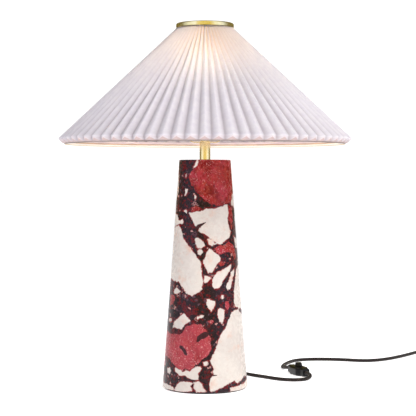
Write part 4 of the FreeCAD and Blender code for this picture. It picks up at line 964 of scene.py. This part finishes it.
def shade():
    """Two pleated skins a sheet apart, joined at the top and at the lower edge.

    Ridges are soft, valleys sharp, and each fold wanders a little, more towards the hem.
    There each ridge rounds over and a small facet turns in to the hem ring.
    """
    draw = np.random.default_rng(5)
    phase = np.tile(ACROSS_A_PLEAT, PLEATS) + np.repeat(np.arange(PLEATS), len(ACROSS_A_PLEAT))
    from_ridge = np.abs((phase + 0.5) % 1.0 - 0.5) * 2
    fold = STRAIGHT_PART * (1 - from_ridge) + COSINE_PART * np.cos(math.pi / 2 * from_ridge)
    pleat = np.floor(phase + 0.5).astype(int) % PLEATS
    shallower = np.abs(draw.normal(0, WANDER, PLEATS))[pleat]
    swing = draw.normal(0, WANDER, PLEATS)[np.floor(phase).astype(int) % PLEATS]
    down = np.concatenate([np.linspace(0, 0.06, 3), np.linspace(0.12, 0.94, 15), [0.97, 0.99, 1.0]])
    ridge = TOP_RADIUS + (RIDGE_RADIUS - TOP_RADIUS) * down
    valley = TOP_RADIUS - TOP_DEPTH + (RIDGE_RADIUS - PLEAT_DEPTH - TOP_RADIUS + TOP_DEPTH) * down
    stand = (ridge - valley)[:, None] * fold[None, :]
    slope_radius = valley[:, None] + stand * (1 - shallower[None, :] * down[:, None])
    slope_z = np.repeat((TOP_Z + (RIDGE_Z - TOP_Z) * down)[:, None], len(phase), axis=1)

    # rounding below the ridge tips, then the facet down to the hem ring
    tip = slope_radius[-1]
    round_radius = VALLEY_END_RADIUS + (ROUND_RADIUS - VALLEY_END_RADIUS) * fold
    round_z = ROUND_Z + (VALLEY_END_Z - ROUND_Z) * np.minimum(1, from_ridge / FACET_SHARE)
    mid_z = 0.45 * RIDGE_Z + 0.55 * round_z
    step = np.array([0.2, 0.4, 0.6, 0.8, 1.0])[:, None]
    rounded_radius = rounded(step, tip, tip, round_radius)
    rounded_z = rounded(step, RIDGE_Z, mid_z, round_z)
    step = np.array([0.05, 0.5, 1.0])[:, None]
    facet_radius = round_radius + (HEM_RADIUS + SHEET - round_radius) * step
    facet_z = round_z + (HEM_Z + 0.5 - round_z) * step
    radius = np.concatenate([slope_radius, rounded_radius, facet_radius])
    z = np.concatenate([slope_z, rounded_z, facet_z])

    half_pitch = math.pi * ridge / PLEATS
    setback = SHEET * np.hypot(half_pitch, ridge - valley) / half_pitch
    setback = setback * np.linspace(1.0, SLANT, len(down))
    low_rows = len(rounded_radius) + len(facet_radius)
    setback = np.concatenate([setback, np.linspace(SHEET * SLANT, SHEET, low_rows)])
    inner_radius = radius - setback[:, None]
    lift = np.concatenate([np.zeros(len(down)), np.linspace(0.1, 1.0, low_rows) * SHEET])
    inner_z = z + lift[:, None]
    angle = 2 * math.pi * phase / PLEATS + FRONT_ANGLE
    sway = np.concatenate([down, np.linspace(1, 0.3, low_rows)])[:, None]
    angle = angle[None, :] + (swing * (1 - fold))[None, :] * sway * (2 * math.pi / PLEATS)

    def skin(distance, height):
        return np.stack([distance * np.cos(angle), distance * np.sin(angle), height], axis=-1)

    points = np.concatenate([skin(radius, z)[::-1], skin(inner_radius, inner_z)]) * MM
    rows = np.arange(len(points)) * 8.0
    columns = np.arange(points.shape[1]) * 2 * math.pi * RIDGE_RADIUS / points.shape[1]
    uv = np.stack(np.broadcast_arrays(columns[None, :], rows[:, None]), axis=-1)
    piece = grid_piece("shade_pleated", points, wrap_rows=True, wrap_columns=True, uv=uv)
    # painted shade marks: full on the turned-in facets, partial on the rounding rows above them
    painted_underside_shade = np.zeros(points.shape[:2])
    painted_underside_shade[:len(facet_radius)] = 1.0
    painted_underside_shade[len(facet_radius):low_rows - 1] = 0.3
    in_fold = np.repeat((1 - fold)[None, :], len(points), axis=0)
    for name, values in (("painted_underside_shade", painted_underside_shade), ("in_fold", in_fold)):
        layer = piece.data.attributes.new(name, "FLOAT", "POINT")
        layer.data.foreach_set("value", values.ravel().astype(np.float32))
    return piece


BINDING_RADIUS = 0.9
ROUND_THE_HEM = 288


def hem_binding():
    """Narrow taupe binding sewn round the lower edge: a rounded strip under the band. Its taupe is a
    painted shadow line along the hem.
    """
    turn = np.linspace(0, 2 * math.pi, 16, endpoint=False)
    radius = HEM_RADIUS - 0.3 + BINDING_RADIUS * np.cos(turn)
    profile = np.stack([radius, HEM_Z - 0.15 + BINDING_RADIUS * np.sin(turn)], axis=-1)
    return lathe("hem_binding", profile, ROUND_THE_HEM)


def hem_band():
    """Smooth strip of lining round the hem ring, behind the sheet's zigzag edge."""
    profile = [
        (-0.6, 0.0), (0.0, 0.3), (0.2, 1.5), (0.2, 7.5),
        (0.0, 8.5), (-0.7, 8.5), (-0.7, 4.0), (-0.9, 0.3),
    ]
    return lathe("hem_band", [(HEM_RADIUS + x, HEM_Z + z) for x, z in profile], ROUND_THE_HEM)


pleated = shade()
paint(pleated, MATERIALS["shade_sheet"])
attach(pleated, "shade_frame")
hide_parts("shade")
band_piece = hem_band()
paint(band_piece, lining)
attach(band_piece, "shade_frame")
binding = hem_binding()
paint(binding, taupe)
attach(binding, "shade_frame")


# Hem wire, wound with tape

HEM_WIRE_RADIUS = 1.5
TAPE_THICKNESS = 0.12
TAPE_TURNS = 180


def taped_wire():
    """Ring of wire whose thickness swells and falls along the overlaps of its tape."""
    low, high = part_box("hem_wire")
    reach = (high.x - low.x) / 2 / MM - HEM_WIRE_RADIUS
    middle = (high.z + low.z) / 2 / MM
    around = 12
    lengthwise = 1080
    turn = np.linspace(0, 2 * math.pi, lengthwise, endpoint=False)
    angle = np.linspace(0, 2 * math.pi, around, endpoint=False)
    step = ((turn[None, :] * TAPE_TURNS + angle[:, None]) / (2 * math.pi)) % 1.0
    thick = HEM_WIRE_RADIUS - TAPE_THICKNESS * step
    distance = reach + thick * np.cos(angle)[:, None]
    height = middle + thick * np.sin(angle)[:, None] + np.zeros(lengthwise)
    points = np.stack([distance * np.cos(turn), distance * np.sin(turn), height], axis=-1)
    return grid_piece("hem_wire_taped", points * MM, wrap_rows=True, wrap_columns=True)


hem = taped_wire()
paint(hem, MATERIALS["hem_tape"])
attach(hem, "shade_frame")
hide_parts("hem_wire")


# Bright cap let into the dial's dished top: a painted highlight, a bright metal dome standing in for the
# reflection on the dial's glossy top

DIAL_CAP_RADIUS = 2.6
DIAL_DISH_DEPTH = 0.98
DIAL_CAP_RIM = 0.15
DIAL_CAP_DOME = 0.75


def dial_cap():
    """Shallow dome with a rolled rim, closed below."""
    low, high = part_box("switch_dial")
    floor = high.z / MM - DIAL_DISH_DEPTH
    steps = np.linspace(0, math.pi / 2, 8)
    rise = floor + DIAL_CAP_RIM + DIAL_CAP_DOME * np.sin(steps)
    dome = np.stack([DIAL_CAP_RADIUS * np.cos(steps), rise], axis=-1)
    profile = np.concatenate([[(0.0, floor), (DIAL_CAP_RADIUS, floor)], dome])
    profile[-1, 0] = 0.0
    piece = lathe("dial_cap", profile, 48, closed=False)
    centre = (low + high) / 2
    piece.data.transform(Matrix.Translation((centre.x, centre.y, 0)))
    return piece


cap = dial_cap()
paint(cap, bright)
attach(cap, "dial")


# Floor, world and lights

FLOOR_HALF = 30.0
FLOOR_GLOW = 0.68


def floor():
    """Plain pale floor, faintly uneven in tone."""
    corners = [(x * FLOOR_HALF, y * FLOOR_HALF, 0) for x, y in ((-1, -1), (1, -1), (1, 1), (-1, 1))]
    mesh = bpy.data.meshes.new("floor")
    mesh.from_pydata(corners, [], [(0, 1, 2, 3)])
    item = new_object("floor", mesh)
    glowing = {"Emission_Color": "#ffffff", "Emission_Strength": FLOOR_GLOW}
    material, tree, shader, _ = surface("floor_white_matt", Roughness=0.9, **glowing)
    feed(tree, shader, Base_Color=blend(tree, noise(tree, 400.0), "#f6f6f6", "#fafafa"))
    paint(item, material)


def background(tree, colour, strength):
    return add(tree, "Background", {"Color": colour, "Strength": strength}).outputs[0]


def sky():
    """White to the camera and soft light for matt surfaces, brighter from the right.

    Polished surfaces see a golden room instead, bright in front and dark behind, with a
    pale wall on each side.
    """
    world = bpy.data.worlds.new("studio")
    bpy.context.scene.world = world
    world.use_nodes = True
    tree = world.node_tree
    tree.nodes.clear()
    x, y, z = apart(tree, add(tree, "TexCoord").outputs["Generated"])
    side = band(tree, x, -0.9, 0.9, 0.27, 0.5)
    behind = band(tree, y, 0.0, 0.8, 1.0, 0.4)
    above = band(tree, z, -0.1, 0.9, 0.8, 1.25)
    light = background(tree, linear("#f4f5fb"), times(tree, times(tree, side, behind), above))

    level_part = maths(tree, "SUBTRACT", 1.0, times(tree, z, z))
    level_part = maths(tree, "POWER", maths(tree, "MAXIMUM", level_part, 0.01), 0.5)
    frontness = maths(tree, "DIVIDE", times(tree, y, -1.0), level_part)
    wall = times(tree, band(tree, frontness, 0.88, 0.8), band(tree, frontness, -0.2, 0.0))
    room = band(tree, frontness, -0.1, 0.5, 0.22, 0.95)
    level = maths(tree, "ADD", room, times(tree, wall, band(tree, x, -0.1, 0.1, 0.44, 0.5)))
    shiny = background(tree, blend(tree, wall, "#fde67c", "#ebf2ff"), level)

    seen = background(tree, linear("#ffffff"), 1.15)
    paths = add(tree, "LightPath").outputs
    lit = mix(tree, paths["Is Glossy Ray"], light, shiny)
    output = add(tree, "OutputWorld")
    tree.links.new(mix(tree, paths["Is Camera Ray"], lit, seen), output.inputs["Surface"])


# Soft boxes: place and the point faced, width and height in metres, watts, colour
SOFT_BOXES = {
    "key": ((1.05, -1.45, 1.75), (0, 0, 0.45), 0.8, 0.8, 29.0, "#fffcf8"),
    "back": ((0.5, 2.2, 1.3), (0, 0, 0.4), 1.2, 0.8, 14.0, "#fbfbff"),
    "fill": ((-1.9, -1.3, 0.2), (0, 0, 0.2), 1.0, 0.7, 9.0, "#f3f4ff"),
}


def soft_box(name, place, target, width, height, power, colour):
    """Studio light: a plain rectangle turned to a point, kept out of reflections."""
    data = bpy.data.lights.new(name, "AREA")
    data.shape = "RECTANGLE"
    data.size = width
    data.size_y = height
    data.energy = power
    data.color = linear(colour)[:3]
    item = new_object(name, data)
    item.location = place
    item.rotation_euler = (Vector(target) - Vector(place)).to_track_quat("-Z", "Y").to_euler()
    item.visible_glossy = False


floor()
sky()
for name, settings in SOFT_BOXES.items():
    soft_box(name, *settings)
bpy.context.scene.view_settings.view_transform = "Standard"
